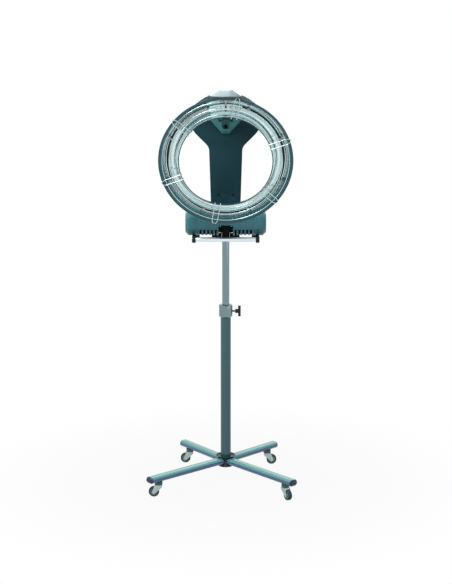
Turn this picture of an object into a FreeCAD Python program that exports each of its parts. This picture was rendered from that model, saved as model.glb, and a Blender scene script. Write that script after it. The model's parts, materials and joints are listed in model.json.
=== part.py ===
import FreeCAD, Part
import math
import os
import re
import Sketcher

# Hair color processor: a ring heater on a height-adjustable caster stand.
# Millimetres and degrees. The origin is on the floor under the axis of the column,
# +X is the object's width, the ring hangs towards -Y and +Z is up.

DIMENSIONS = [
    # Base
    ("base_turn", -3.4, "turn of the base under the head"),
    ("front_leg_angle", 44, "front leg, from straight forward"),
    ("rear_leg_angle", 40, "rear leg, from straight back"),
    ("front_leg_reach", 388.5, "column axis to the end of a front leg"),
    ("rear_leg_reach", 287, "column axis to the end of a rear leg"),
    ("leg_width", 38, "flat-oval leg tube"),
    ("leg_height", 25, "flat-oval leg tube"),
    ("leg_wall", 2, "wall of the leg tube"),
    ("leg_underside", 60, "floor to the underside of a leg"),
    ("cap_dome", 8, "dome of a leg's end cap"),
    ("plug_depth", 16, "plug of a leg's end cap"),
    ("plug_clearance", 0.15, "round every plug"),
    ("stem_inset", 42, "end of a leg to its caster"),
    ("hub_radius", 26, "hub body between its flanges"),
    ("hub_rim_radius", 38.5, "dished top flange"),
    ("hub_foot_radius", 28, "bottom flange"),
    ("hub_foot_height", 6, "bottom flange"),
    ("hub_foot_drop", 5, "bottom flange below the legs"),
    ("hub_bowl_height", 8, "dished flange above the legs"),
    ("hub_bowl_depth", 5, "depth of the dish"),
    ("hub_spigot_reach", 62, "hub axis to the end of a leg spigot"),
    ("hub_post_height", 45, "post inside the column"),
    # Casters
    ("wheel_radius", 20, "caster tyre"),
    ("wheel_width", 16, "caster tyre"),
    ("core_radius", 14.5, "caster wheel core"),
    ("axle_radius", 3, "caster axle"),
    ("caster_trail", 18, "swivel axis to wheel axis"),
    ("fork_gap", 1.2, "wheel to each fork arm"),
    ("fork_plate", 2.5, "fork sheet"),
    ("fork_crown_level", 42.5, "underside of the fork's crown"),
    ("fork_crown_height", 4, "fork's crown"),
    ("kingpin_radius", 5, "swivel pin"),
    ("boss_radius", 15, "dark boss under the leg"),
    ("boss_height", 13.2, "dark boss under the leg"),
    ("stem_radius", 4, "caster stem in the leg"),
    ("stem_height", 18, "caster stem in the leg"),
    ("turning_clearance", 0.05, "radial, pins and shafts in their bores"),
    ("face_clearance", 0.3, "between faces that pass each other"),
    # Column
    ("column_radius", 20, "lower tube"),
    ("column_wall", 2, "lower tube"),
    ("column_top", 660, "top of the lower tube"),
    ("mast_radius", 14, "upper tube"),
    ("mast_wall", 2, "upper tube"),
    ("mast_foot", 338, "foot of the mast"),
    ("mast_top", 962, "top of the mast"),
    ("bush_length", 50, "sleeve in the top of the lower tube"),
    ("foot_bush_length", 30, "guide bush at the foot of the mast"),
    ("sliding_clearance", 0.1, "radial, mast and bushes"),
    ("collar_radius", 26.5, "clamp collar"),
    ("collar_height", 48, "clamp collar"),
    ("collar_lap", 10, "collar over the lower tube"),
    ("collar_chamfer", 3, "clamp collar"),
    ("clamp_level", 672, "axis of the clamp screw"),
    ("clamp_radius", 4, "clamp screw and pad"),
    ("pad_length", 6, "clamp pad"),
    ("clamp_hub_start", 37, "mast axis to the knob's hub"),
    ("clamp_hub_length", 13, "knob's hub"),
    ("clamp_hub_radius", 9, "knob's hub"),
    ("wing_length", 43, "across the knob's wing"),
    ("wing_radius", 5, "wing's rounded ends"),
    ("wing_waist", 3, "half the wing's waist"),
    # Tilting head
    ("tilt_level", 1005, "axis of the tilt pin"),
    ("tilt_pin_radius", 5, "tilt pin"),
    ("socket_flange_radius", 15, "socket on top of the mast"),
    ("socket_flange_height", 8, "socket on top of the mast"),
    ("socket_spigot_length", 50, "socket inside the mast"),
    ("socket_width", 30, "socket's tongue"),
    ("socket_tongue_radius", 14, "socket's tongue round the pin"),
    ("ear_thickness", 4, "chassis ears"),
    ("ear_gap", 0.5, "tongue to each ear"),
    ("cradle_half_width", 53, "dark cradle below the housing"),
    ("cradle_foot", 964, "dark cradle below the housing"),
    ("cradle_half_depth", 30, "dark cradle below the housing"),
    ("cradle_round", 6, "lower edges of the cradle"),
    ("chassis_level", 1037, "underside of the chassis plate"),
    ("chassis_thickness", 3, "chassis plate"),
    ("chassis_half_width", 102, "chassis plate"),
    ("pin_head_radius", 8, "tilt pin"),
    ("pin_head_length", 3, "tilt pin"),
    # Control housing
    ("housing_half_width", 108.5, "housing between its end caps"),
    ("end_cap_width", 45, "each end cap"),
    ("end_cap_bevel", 12, "edge of an end cap"),
    ("end_cap_hollow", 14, "margin round the hollow of an end cap"),
    ("housing_front", -70, "front face"),
    ("housing_back", 45, "rear face"),
    ("housing_floor", 974, "underside"),
    ("housing_height", 94, "floor to top"),
    ("housing_front_round", 38, "front corners"),
    ("housing_rear_round", 20, "rear corners"),
    ("housing_wall", 3, "moulded walls"),
    ("housing_split", -14, "seam between front and rear shell"),
    ("recess_half_width", 29, "recess for the mast"),
    ("recess_top", 1018, "recess for the mast"),
    ("recess_round", 8, "recess for the mast"),
    ("vent_count", 5, "slots on each side"),
    ("vent_first", 37.7, "first slot from the middle"),
    ("vent_pitch", 14.5, "slot spacing"),
    ("vent_width", 7.2, "slot"),
    ("vent_overrun", 2, "slots run out through the underside"),
    ("vent_top", 1015, "slot"),
    ("bar_radius", 9.3, "handle bar"),
    ("bar_half_length", 129, "handle bar"),
    ("bar_y", -85, "handle bar"),
    ("bar_z", 965, "handle bar"),
    ("bracket_x", 114, "inner face of a bar bracket's arm"),
    ("bracket_thickness", 13.5, "arm of a bar bracket"),
    ("bracket_foot_width", 28, "foot of a bar bracket"),
    ("bracket_foot_depth", 24, "foot of a bar bracket"),
    ("bracket_foot_height", 8, "foot of a bar bracket"),
    ("bracket_arm_height", 12, "arm of a bar bracket at the foot"),
    ("bracket_neck_angle", 30, "where the arm meets its eye"),
    ("bracket_wall", 3.2, "bar bracket round the bar"),
    # Controls on the rear face
    ("fascia_half_width", 80, "control fascia"),
    ("fascia_bottom", 1002, "control fascia"),
    ("fascia_height", 44, "control fascia"),
    ("fascia_thickness", 3, "control fascia"),
    ("key_count", 3, "push keys"),
    ("key_pitch", 24, "push keys"),
    ("key_first_x", -60, "push keys"),
    ("key_level", 1015, "push keys"),
    ("key_radius", 6.5, "push keys"),
    ("key_stem_radius", 2.8, "push keys"),
    ("key_proud", 4, "key above the fascia"),
    ("key_travel", 1.5, "push keys"),
    ("window_width", 60, "display window"),
    ("window_height", 14, "display window"),
    ("window_x", -36, "display window"),
    ("window_level", 1036, "display window"),
    ("rocker_x", 55, "mains rocker"),
    ("rocker_level", 1022, "mains rocker"),
    ("rocker_half_width", 6.7, "mains rocker"),
    ("rocker_half_height", 9, "mains rocker"),
    ("rocker_pivot_depth", 4, "rocker axis behind the fascia's face"),
    ("rocker_proud", 5.5, "rocker ends before its axis"),
    ("rocker_pivot_radius", 2, "rocker's pivot pins"),
    ("rocker_pivot_reach", 0.4, "pivot pins beside the rocker"),
    ("board_half_width", 62, "control board"),
    ("board_x", -20, "control board"),
    ("board_height", 50, "control board"),
    ("board_thickness", 1.6, "control board"),
    ("board_face", 26, "rear face of the control board"),
    ("gland_x", 93, "mains cable gland"),
    ("gland_level", 1017, "mains cable gland"),
    ("gland_bore", 4, "radius of the cable bore"),
    ("gland_radius", 10, "gland's flange"),
    ("gland_thread_radius", 7.8, "gland in the wall"),
    ("gland_proud", 14, "gland outside the wall"),
    ("gland_inside", 8, "gland inside the wall"),
    # Spine and arch
    ("spine_foot", 1046, "foot of the spine, inside the housing"),
    ("spine_face", -18, "front of the spine"),
    ("spine_back", 30, "back of the spine"),
    ("plate_thickness", 3, "front plate"),
    ("plate_top", 1478, "top edge of the front plate, under the ring"),
    ("shell_wall", 3, "rear shell"),
    ("arch_start", 1379, "where the front begins to bend"),
    ("arch_radius", 115, "bend of the front"),
    ("arch_slope", 10.9, "slope of the arch's underside"),
    ("pod_floor", 1517, "underside of the pod"),
    ("crown_start", 1385, "where the back begins to bend"),
    ("crown_radius", 150, "bend of the back"),
    ("crown_slope", 2, "slope of the crown"),
    ("pod_tip", -352, "tip of the pod"),
    ("pod_radius", 73, "pod's nose in plan"),
    ("nose_round", 10, "upper edge of the nose"),
    ("neck_low", 55, "half width at the foot"),
    ("neck_high", 62.8, "half width under the arms"),
    ("neck_top", 1293, "where the arms begin"),
    ("flare_radius", 36, "bend into the arms"),
    ("flare_angle", 45, "slope of the arms"),
    ("flare_run", 39.2, "straight part of the arms, sideways"),
    ("arm_radius", 57, "bend at the end of the arms"),
    ("arm_angle", 75, "slope above that bend"),
    ("arm_run", 35.3, "straight part above that bend"),
    ("shoulder_radius", 48, "shoulder"),
    ("shoulder_angle", 140, "slope above the shoulder"),
    ("crown_half_width", 76.5, "foot of the crown"),
    ("cap_half_width", 23, "flat top of the crown"),
    ("cap_level", 1540, "edge of the flat top"),
    ("keel_apex", 1358.6, "lowest point of the keel"),
    ("keel_top", 1428.6, "top of the keel"),
    ("keel_apex_half", 8.6, "flat apex of the keel"),
    ("keel_round", 9, "corners of the apex"),
    ("keel_slope", 48, "slope of the keel's sides"),
    ("keel_step", 6, "keel's upright sides in front of the spine"),
    ("keel_nose", 8, "depth of the facets at the apex"),
    ("keel_lean", 17, "keel's front, forward from upright"),
    ("keel_facet", 45, "facets, from the spine's face"),
    ("keel_wall", 3, "keel's shell"),
    ("keel_floor", 12, "floor of the well behind the spine's face"),
    ("keel_well_half", 14.7, "lower part of the well"),
    ("keel_well_rise", 19, "foot of the well above the apex"),
    ("keel_band_half", 27, "upper part of the well"),
    ("keel_band_rise", 48, "upper part of the well above the apex"),
    ("keel_well_round", 11, "foot of the well"),
    ("keel_hole_radius", 6, "cable hole in the keel"),
    ("keel_hole_rise", 27.5, "cable hole above the apex"),
    ("frame_half_width", 20, "steel frame strip"),
    ("frame_face", 12, "front of the frame strip"),
    ("frame_thickness", 3, "frame strip"),
    ("frame_radius", 120, "bend of the frame strip"),
    ("frame_margin", 20, "tip of the pod to the tip of the frame strip"),
    ("frame_rise", 1.2, "frame above the front plate, in the pod"),
    ("lower_screw_x", 27.5, "spine screws"),
    ("lower_screw_z", 1129, "spine screws"),
    ("upper_screw_x", 100, "spine screws"),
    ("upper_screw_z", 1397.5, "spine screws"),
    ("screw_radius", 3, "spine screws"),
    ("screw_head_radius", 5, "keel screws"),
    ("keel_screw_x", 18, "keel screws"),
    ("keel_screw_z", 1413, "keel screws"),
    # Ring and its drive
    ("ring_reach", 244, "column axis to the centre of the ring"),
    ("ring_hang", 5.7, "underside of the pod to the top of the ring"),
    ("ring_tilt", 16.5, "ring, from upright"),
    ("ring_outer", 246.5, "outer lip"),
    ("ring_inner", 170, "inner lip"),
    ("ring_depth", 40, "trough"),
    ("ring_sheet", 2, "trough"),
    ("ring_outer_lip", 6, "flange round the outer wall"),
    ("ring_inner_lip", 1.5, "flange inside the inner wall"),
    ("ring_outer_batter", 12, "outer wall leans in by"),
    ("ring_inner_batter", 11, "inner wall leans in by"),
    ("ring_round", 4, "bottom edges of the trough"),
    ("reflector_gap", 0.4, "reflector in the trough"),
    ("reflector_sheet", 1, "reflector"),
    ("element_offset", 4.25, "element outside the middle of the trough"),
    ("element_thickness", 4, "radius of the element's sheath"),
    ("element_depth", 22, "element behind the rim"),
    ("cover_angle", 37, "terminal cover"),
    ("cover_inside", 13.5, "terminal cover inside the element's circle"),
    ("cover_outside", 6, "terminal cover outside the element's circle"),
    ("cover_front", 4, "terminal cover behind the rim"),
    ("cover_bevel", 3, "front edges of the terminal cover"),
    ("clip_count", 8, "element clips"),
    ("clip_first", 22.5, "first clip from the top"),
    ("clip_width", 8, "element clip"),
    ("clip_half_height", 6, "element clip"),
    ("guard_wire", 1.6, "radius of the guard wire"),
    ("guard_inner_margin", 13.5, "inner lip to the inner hoop"),
    ("guard_middle_offset", 1.45, "middle hoop inside the middle of the trough"),
    ("guard_outer_margin", 14.5, "outer hoop to the outer lip"),
    ("tie_count", 6, "guard ties"),
    ("tie_first", 10, "first tie from the top"),
    ("tie_spread", 20, "between the two wires of a tie"),
    ("tie_hook", 9, "hooks over the rims"),
    ("shaft_radius", 4, "drive shaft"),
    ("shaft_drop", 14, "drive shaft below the hanger's boss"),
    ("hanger_boss_radius", 10, "hanger"),
    ("hanger_gap", 4.6, "hanger's boss to the underside of the pod"),
    ("hanger_boss_height", 19.4, "hanger"),
    ("hanger_plate_rise", 3.9, "hanger's plate above the foot of its boss"),
    ("hanger_plate_height", 3, "hanger"),
    ("hanger_half_width", 22, "hanger"),
    ("hanger_half_depth", 10, "hanger"),
    ("bearing_radius", 8, "bearing bush"),
    ("bearing_flange_radius", 12, "bearing bush"),
    ("bearing_flange_height", 2, "bearing bush"),
    ("motor_radius", 25, "gear motor"),
    ("motor_height", 12.6, "gear motor"),
    ("motor_round", 1.5, "gear motor"),
]

CUT_REACH = 900  # long enough to cut through the whole object

# Sizes that follow from the named ones
HOUSING_TOP = "(housing_floor + housing_height)"
EAR_FACE = "(socket_width / 2 + ear_gap)"
ORBIT_REACH = "(ring_reach + ring_outer * sin(ring_tilt) - ring_depth / 2 * cos(ring_tilt))"
RING_LEVEL = "(pod_floor - ring_hang - ring_outer * cos(ring_tilt))"
RING_MIDDLE = "((ring_outer + ring_inner) / 2)"
ELEMENT_RADIUS = f"({RING_MIDDLE} + element_offset)"
COVER_INNER = f"({ELEMENT_RADIUS} - cover_inside)"
COVER_OUTER = f"({ELEMENT_RADIUS} + cover_outside)"
HOOPS = ("(ring_inner + guard_inner_margin)", f"({RING_MIDDLE} - guard_middle_offset)",
         "(ring_outer - guard_outer_margin)")
HANGER_TOP = "(pod_floor - hanger_gap)"
HANGER_FOOT = f"({HANGER_TOP} - hanger_boss_height)"

ALIASES = {alias for alias, value, note in DIMENSIONS}
ALIAS_WORD = re.compile(r"[a-z][a-z_]+")
PIECES = []

doc = FreeCAD.newDocument("hair_color_processor")
sheet = doc.addObject("Spreadsheet::Sheet", "Sizes")
for row, (alias, value, note) in enumerate(DIMENSIONS, 1):
    sheet.set(f"A{row}", alias)
    sheet.set(f"B{row}", str(value))
    sheet.setAlias(f"B{row}", alias)
    sheet.set(f"C{row}", note)
doc.recompute()


# Formulas are written with the sheet's aliases alone.

def cells(formula):
    """Name the sheet before each alias of a formula."""
    def refer(word):
        return f"Sizes.{word[0]}" if word[0] in ALIASES else word[0]
    return ALIAS_WORD.sub(refer, str(formula))


def number(formula):
    return float(sheet.evalExpression(cells(formula)))


def bind(thing, name, formula):
    thing.setExpression(name, cells(formula))


def place(thing, x=0, y=0, z=0, rotation=None):
    """Put a sub-part at three formulas; a rotation is worked out from the sheet."""
    thing.Placement = FreeCAD.Placement(FreeCAD.Vector(), rotation or FreeCAD.Rotation())
    for axis, formula in zip("xyz", (x, y, z)):
        bind(thing, f"Placement.Base.{axis}", formula)


def turned(axis, formula):
    return FreeCAD.Rotation(FreeCAD.Vector(*axis), number(formula))


def keep(thing, label):
    """Label a finished sub-part; its label names its file."""
    thing.Label = label
    PIECES.append(thing)
    return thing


# Sketches: a loop is a circle, or a list of corners. A corner with a radius starts an arc
# to the next corner, whose centre is on the left (1) or the right (-1) of the way there.

def circle(x, y, radius):
    return ("circle", x, y, radius)


def box(x0, x1, y0, y1):
    return [(x0, y0), (x1, y0), (x1, y1), (x0, y1)]


def flat_oval(width, height, gap="0"):
    """Loop with straight top and bottom and round sides, smaller by a gap all round."""
    radius = f"(({height}) / 2 - ({gap}))"
    side = f"(({width}) / 2 - ({gap}))"
    flat = f"({side} - {radius})"
    return [(flat, f"-{radius}", radius, 1), (side, 0, radius, 1), (flat, radius),
            (f"-{flat}", radius, radius, 1), (f"-{side}", 0, radius, 1), (f"-{flat}", f"-{radius}")]


def arc_geometry(start, end, radius, side):
    chord = end - start
    sag = math.sqrt(max(radius ** 2 - (chord.Length / 2) ** 2, 0))
    left = FreeCAD.Vector(-chord.y, chord.x, 0).normalize()
    centre = (start + end) * 0.5 + left * (side * sag)
    first, last = (start, end) if side > 0 else (end, start)
    angles = [math.atan2(point.y - centre.y, point.x - centre.x) for point in (first, last)]
    return Part.ArcOfCircle(Part.Circle(centre, FreeCAD.Vector(0, 0, 1), radius), *angles)


def bind_point(sketch, geometry, position, x, y):
    for kind, formula in (("DistanceX", x), ("DistanceY", y)):
        constraint = Sketcher.Constraint(kind, -1, 1, geometry, position, number(formula))
        bind(sketch, f"Constraints[{sketch.addConstraint(constraint)}]", formula)


def draw_circle(sketch, x, y, radius):
    centre = FreeCAD.Vector(number(x), number(y), 0)
    ring = Part.Circle(centre, FreeCAD.Vector(0, 0, 1), number(radius))
    geometry = sketch.addGeometry(ring, False)
    bind_point(sketch, geometry, 3, x, y)
    size = sketch.addConstraint(Sketcher.Constraint("Radius", geometry, number(radius)))
    bind(sketch, f"Constraints[{size}]", radius)


def draw_loop(sketch, corners):
    points = [FreeCAD.Vector(number(corner[0]), number(corner[1]), 0) for corner in corners]
    ends = []
    for index, corner in enumerate(corners):
        start, end = points[index], points[(index + 1) % len(points)]
        if len(corner) == 2:
            geometry = sketch.addGeometry(Part.LineSegment(start, end), False)
            ends.append((geometry, 1, 2))
            continue
        radius, side = corner[2:]
        arc = arc_geometry(start, end, number(radius), side)
        geometry = sketch.addGeometry(arc, False)
        size = sketch.addConstraint(Sketcher.Constraint("Radius", geometry, number(radius)))
        bind(sketch, f"Constraints[{size}]", radius)
        ends.append((geometry, 1, 2) if side > 0 else (geometry, 2, 1))
    for index, (geometry, first, last) in enumerate(ends):
        following, its_first, its_last = ends[(index + 1) % len(ends)]
        sketch.addConstraint(Sketcher.Constraint("Coincident", geometry, last, following, its_first))
        bind_point(sketch, geometry, first, *corners[index][:2])


def new_sketch(body, plane, loops, offset=0):
    """Sketch on one of a body's own origin planes; YZ maps its x to Y and its y to Z."""
    sketch = body.newObject("Sketcher::SketchObject", f"{body.Name}_sketch")
    support = [item for item in body.Origin.OriginFeatures if item.Role == f"{plane}_Plane"][0]
    sketch.AttachmentSupport = [(support, "")]
    sketch.MapMode = "FlatFace"
    bind(sketch, "AttachmentOffset.Base.z", offset)
    for loop in loops:
        if loop[0] == "circle":
            draw_circle(sketch, *loop[1:])
        else:
            draw_loop(sketch, loop)
    return sketch


def new_body(name, x=0, y=0, z=0, rotation=None):
    body = doc.addObject("PartDesign::Body", name)
    place(body, x, y, z, rotation)
    return body


def pad(body, plane, loops, length, offset=0, both_ways=False, backwards=False):
    sketch = new_sketch(body, plane, loops, offset)
    feature = body.newObject("PartDesign::Pad", f"{body.Name}_pad")
    feature.Profile = sketch
    feature.Reversed = backwards
    if both_ways:
        feature.SideType = "Symmetric"
    bind(feature, "Length", length)
    return feature


def pocket(body, plane, loops, length=CUT_REACH, offset=0, both_ways=False, backwards=False):
    """Cut towards the back of the sketch plane, or both ways; it must remove something."""
    doc.recompute()
    before = body.Shape.Volume
    sketch = new_sketch(body, plane, loops, offset)
    feature = body.newObject("PartDesign::Pocket", f"{body.Name}_pocket")
    feature.Profile = sketch
    feature.Reversed = backwards
    if both_ways:
        feature.SideType = "Symmetric"
    bind(feature, "Length", length)
    doc.recompute()
    if body.Shape.Volume > before - 0.01:
        raise RuntimeError(f"{feature.Name} of {body.Label} cuts nothing")
    return feature


def revolve(body, loops, plane="XZ", angle=360):
    """Turn a sketch round the body's own Z axis; a part turn is even about the sketch."""
    sketch = new_sketch(body, plane, loops)
    feature = body.newObject("PartDesign::Revolution", f"{body.Name}_revolution")
    feature.Profile = sketch
    feature.ReferenceAxis = (sketch, ["V_Axis"])
    feature.Midplane = True
    bind(feature, "Angle", angle)
    return feature


def polar(body, feature, count):
    z_axis = [item for item in body.Origin.OriginFeatures if item.Role == "Z_Axis"][0]
    pattern = body.newObject("PartDesign::PolarPattern", f"{body.Name}_pattern")
    pattern.Originals = [feature]
    pattern.Axis = (z_axis, [""])
    pattern.Angle = 360
    bind(pattern, "Occurrences", count)
    body.Tip = pattern
    return pattern


def bevel(body, kind, size, wanted):
    """Fillet or chamfer the edges of a body's tip that a test picks."""
    doc.recompute()
    base = body.Tip
    edges = [f"Edge{index}" for index, edge in enumerate(base.Shape.Edges, 1) if wanted(edge)]
    feature = body.newObject(f"PartDesign::{kind}", f"{body.Name}_{kind}")
    feature.Base = (base, edges)
    bind(feature, "Radius" if kind == "Fillet" else "Size", size)
    return feature


def cut(name, base, tool):
    feature = doc.addObject("Part::Cut", name)
    feature.Base = base
    feature.Tool = tool
    return feature


def combine(kind, name, things):
    feature = doc.addObject(kind, name)
    if kind == "Part::Compound":
        feature.Links = things
    else:
        feature.Shapes = things
    return feature


# Base: hub casting, four flat-oval legs, end caps and casters

LEGS = {
    "front_left": ("-90 - front_leg_angle + base_turn", "front_leg_reach", 180),
    "front_right": ("-90 + front_leg_angle + base_turn", "front_leg_reach", -60),
    "rear_left": ("90 + rear_leg_angle + base_turn", "rear_leg_reach", 180),
    "rear_right": ("90 - rear_leg_angle + base_turn", "rear_leg_reach", 0),
}
LEG_LEVEL = "leg_underside + leg_height / 2"
LEG_TOP = "leg_underside + leg_height"
DISH_LEVEL = f"{LEG_TOP} + hub_bowl_height - hub_bowl_depth"
Z_AXIS = (0, 0, 1)
X_AXIS = (1, 0, 0)
TILT = turned(X_AXIS, "ring_tilt - 90")
TOWARDS_BACK = turned(X_AXIS, "-90")
TOWARDS_RIGHT = FreeCAD.Rotation(FreeCAD.Vector(0, 1, 0), 90)


def build_leg(name, angle, reach):
    direction = turned(Z_AXIS, angle)
    start = "hub_radius + face_clearance"
    leg = new_body(f"leg_{name}", z=LEG_LEVEL, rotation=direction)
    loops = [flat_oval("leg_width", "leg_height"), flat_oval("leg_width", "leg_height", "leg_wall")]
    pad(leg, "YZ", loops, f"{reach} - ({start})", offset=start)
    pocket(leg, "XY", [circle(f"{reach} - stem_inset", 0, "stem_radius + turning_clearance")],
           "leg_height")
    keep(leg, f"leg_{name}")

    cap = new_body(f"cap_{name}", z=LEG_LEVEL, rotation=direction)
    pad(cap, "YZ", [flat_oval("leg_width", "leg_height")], "cap_dome", offset=reach)
    doc.recompute()
    outer_end = number(f"{reach} + cap_dome")
    bevel(cap, "Chamfer", "cap_dome - 2",
          lambda edge: all(abs(vertex.X - outer_end) < 0.01 for vertex in edge.Vertexes))
    plug = [flat_oval("leg_width", "leg_height", "leg_wall + plug_clearance")]
    pad(cap, "YZ", plug, "plug_depth", offset=reach, backwards=True)
    return cap, direction


def build_hub(spigots):
    casting = new_body("hub_casting")
    foot = "leg_underside - hub_foot_drop - hub_foot_height"
    post = f"{DISH_LEVEL} + hub_post_height"
    post_radius = "column_radius - column_wall - plug_clearance"
    revolve(casting, [[
        (0, foot), ("hub_foot_radius", foot), ("hub_foot_radius", f"{foot} + hub_foot_height"),
        ("hub_radius", f"{foot} + hub_foot_height + 2"), ("hub_radius", LEG_TOP),
        ("hub_radius + 4", LEG_TOP),
        ("hub_rim_radius", f"{LEG_TOP} + hub_bowl_height - 2"),
        ("hub_rim_radius", f"{LEG_TOP} + hub_bowl_height"),
        ("hub_rim_radius - 3", f"{LEG_TOP} + hub_bowl_height"),
        ("hub_rim_radius - 8", DISH_LEVEL),
        (post_radius, DISH_LEVEL), (post_radius, post), (0, post),
    ]])
    keep(combine("Part::MultiFuse", "base_hub", [casting] + spigots), "base_hub")


def build_caster(name, axis_x, axis_y, swivel):
    """Stem with its boss, swivelling fork, and a wheel of core and tyre."""
    stem = new_body(f"stem_{name}", x=axis_x, y=axis_y)
    boss = "(leg_underside - boss_height)"
    revolve(stem, [[
        (0, "fork_crown_level"), ("kingpin_radius", "fork_crown_level"), ("kingpin_radius", boss),
        ("boss_radius", boss), ("boss_radius", "leg_underside"),
        ("stem_radius", "leg_underside"), ("stem_radius", "leg_underside + stem_height"),
        (0, "leg_underside + stem_height"),
    ]])

    heading = FreeCAD.Rotation(FreeCAD.Vector(*Z_AXIS), swivel)
    fork = new_body(f"fork_{name}", x=axis_x, y=axis_y, rotation=heading)
    crown = "fork_crown_level + fork_crown_height"
    eye = "axle_radius + 4"
    inner_half = "wheel_width / 2 + fork_gap"
    pad(fork, "XZ", [[
        ("-boss_radius + 2", crown), ("-boss_radius + 2", "fork_crown_level - 4"),
        (f"caster_trail - ({eye}) * sin(50)", f"wheel_radius - ({eye}) * cos(50)", eye, 1),
        (f"caster_trail + {eye}", "wheel_radius"), ("boss_radius", crown),
    ]], f"2 * ({inner_half} + fork_plate)", both_ways=True)
    pocket(fork, "YZ", [box(f"-({inner_half})", inner_half, 0, "fork_crown_level")], both_ways=True)
    pocket(fork, "XY", [circle(0, 0, "kingpin_radius + turning_clearance")],
           "2 * fork_crown_height", offset=f"{crown} + 1")
    pad(fork, "XZ", [circle("caster_trail", "wheel_radius", "axle_radius")],
        f"2 * ({inner_half} + fork_plate) + 2", both_ways=True)
    keep(fork, f"caster_fork_{name}")

    trail = heading.multVec(FreeCAD.Vector(1, 0, 0))
    wheel_x = f"{axis_x} + caster_trail * ({trail.x})"
    wheel_y = f"{axis_y} + caster_trail * ({trail.y})"
    spin = heading.multiply(turned(X_AXIS, "90"))
    half = "wheel_width / 2"
    core = new_body(f"core_{name}", wheel_x, wheel_y, "wheel_radius", spin)
    bore = "axle_radius + turning_clearance"
    revolve(core, [[
        (bore, f"-{half} - fork_gap / 2"), (f"{bore} + 3", f"-{half} - fork_gap / 2"),
        ("core_radius", f"-{half} + 2"), ("core_radius", f"{half} - 2"),
        (f"{bore} + 3", f"{half} + fork_gap / 2"), (bore, f"{half} + fork_gap / 2"),
    ]])
    keep(core, f"caster_core_{name}")
    tyre = new_body(f"tyre_{name}", wheel_x, wheel_y, "wheel_radius", spin)
    revolve(tyre, [[
        ("core_radius", f"-{half}"), ("wheel_radius - 2", f"-{half}"),
        ("wheel_radius", f"-{half} + 4"), ("wheel_radius", f"{half} - 4"),
        ("wheel_radius - 2", half), ("core_radius", half),
    ]])
    keep(tyre, f"caster_tyre_{name}")
    return stem


def build_base():
    spigots, caps, stems = [], [], []
    for name, (angle, reach, swivel) in LEGS.items():
        cap, direction = build_leg(name, angle, reach)
        caps.append(cap)
        spigot = new_body(f"spigot_{name}", z=LEG_LEVEL, rotation=direction)
        half_width = "(leg_width - leg_height) / 2"
        half_height = "(leg_height / 2 - leg_wall - plug_clearance)"
        bar = box(f"-{half_width}", half_width, f"-{half_height}", half_height)
        pad(spigot, "YZ", [bar], "hub_spigot_reach - hub_radius / 2", offset="hub_radius / 2")
        spigots.append(spigot)
        caster_x = f"({reach} - stem_inset) * cos({angle})"
        caster_y = f"({reach} - stem_inset) * sin({angle})"
        stems.append(build_caster(name, caster_x, caster_y, swivel))
    build_hub(spigots)
    keep(combine("Part::Compound", "leg_end_caps", caps), "leg_end_caps")
    keep(combine("Part::Compound", "caster_stems", stems), "caster_stems")


# Column: lower tube, sleeve, collar with its clamp, mast and socket

def build_tube(name, outer, wall, foot, top):
    tube = new_body(name, z=foot)
    pad(tube, "XY", [circle(0, 0, outer), circle(0, 0, f"{outer} - ({wall})")], f"{top} - ({foot})")
    return keep(tube, name)


def build_column():
    build_tube("column_tube", "column_radius", "column_wall", DISH_LEVEL, "column_top")
    bore = "column_radius - column_wall - sliding_clearance"
    build_tube("column_sleeve", bore, f"{bore} - mast_radius - sliding_clearance",
               "column_top - bush_length", "column_top")
    build_tube("mast_tube", "mast_radius", "mast_wall", "mast_foot", "mast_top")
    build_tube("mast_guide_bush", bore, f"{bore} - mast_radius - turning_clearance",
               "mast_foot", "mast_foot + foot_bush_length")

    collar = new_body("clamp_collar")
    foot = "column_top - collar_lap"
    top = f"{foot} + collar_height"
    lap = "column_radius + turning_clearance"
    bore = "mast_radius + face_clearance"
    revolve(collar, [[
        (lap, foot), ("collar_radius - collar_chamfer", foot),
        ("collar_radius", f"{foot} + collar_chamfer"), ("collar_radius", f"{top} - collar_chamfer"),
        ("collar_radius - collar_chamfer", top), (bore, top), (bore, "column_top"), (lap, "column_top"),
    ]])
    pocket(collar, "YZ", [circle(0, "clamp_level", "clamp_radius + turning_clearance")],
           "collar_radius + 1", backwards=True)
    keep(collar, "clamp_collar")


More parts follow.
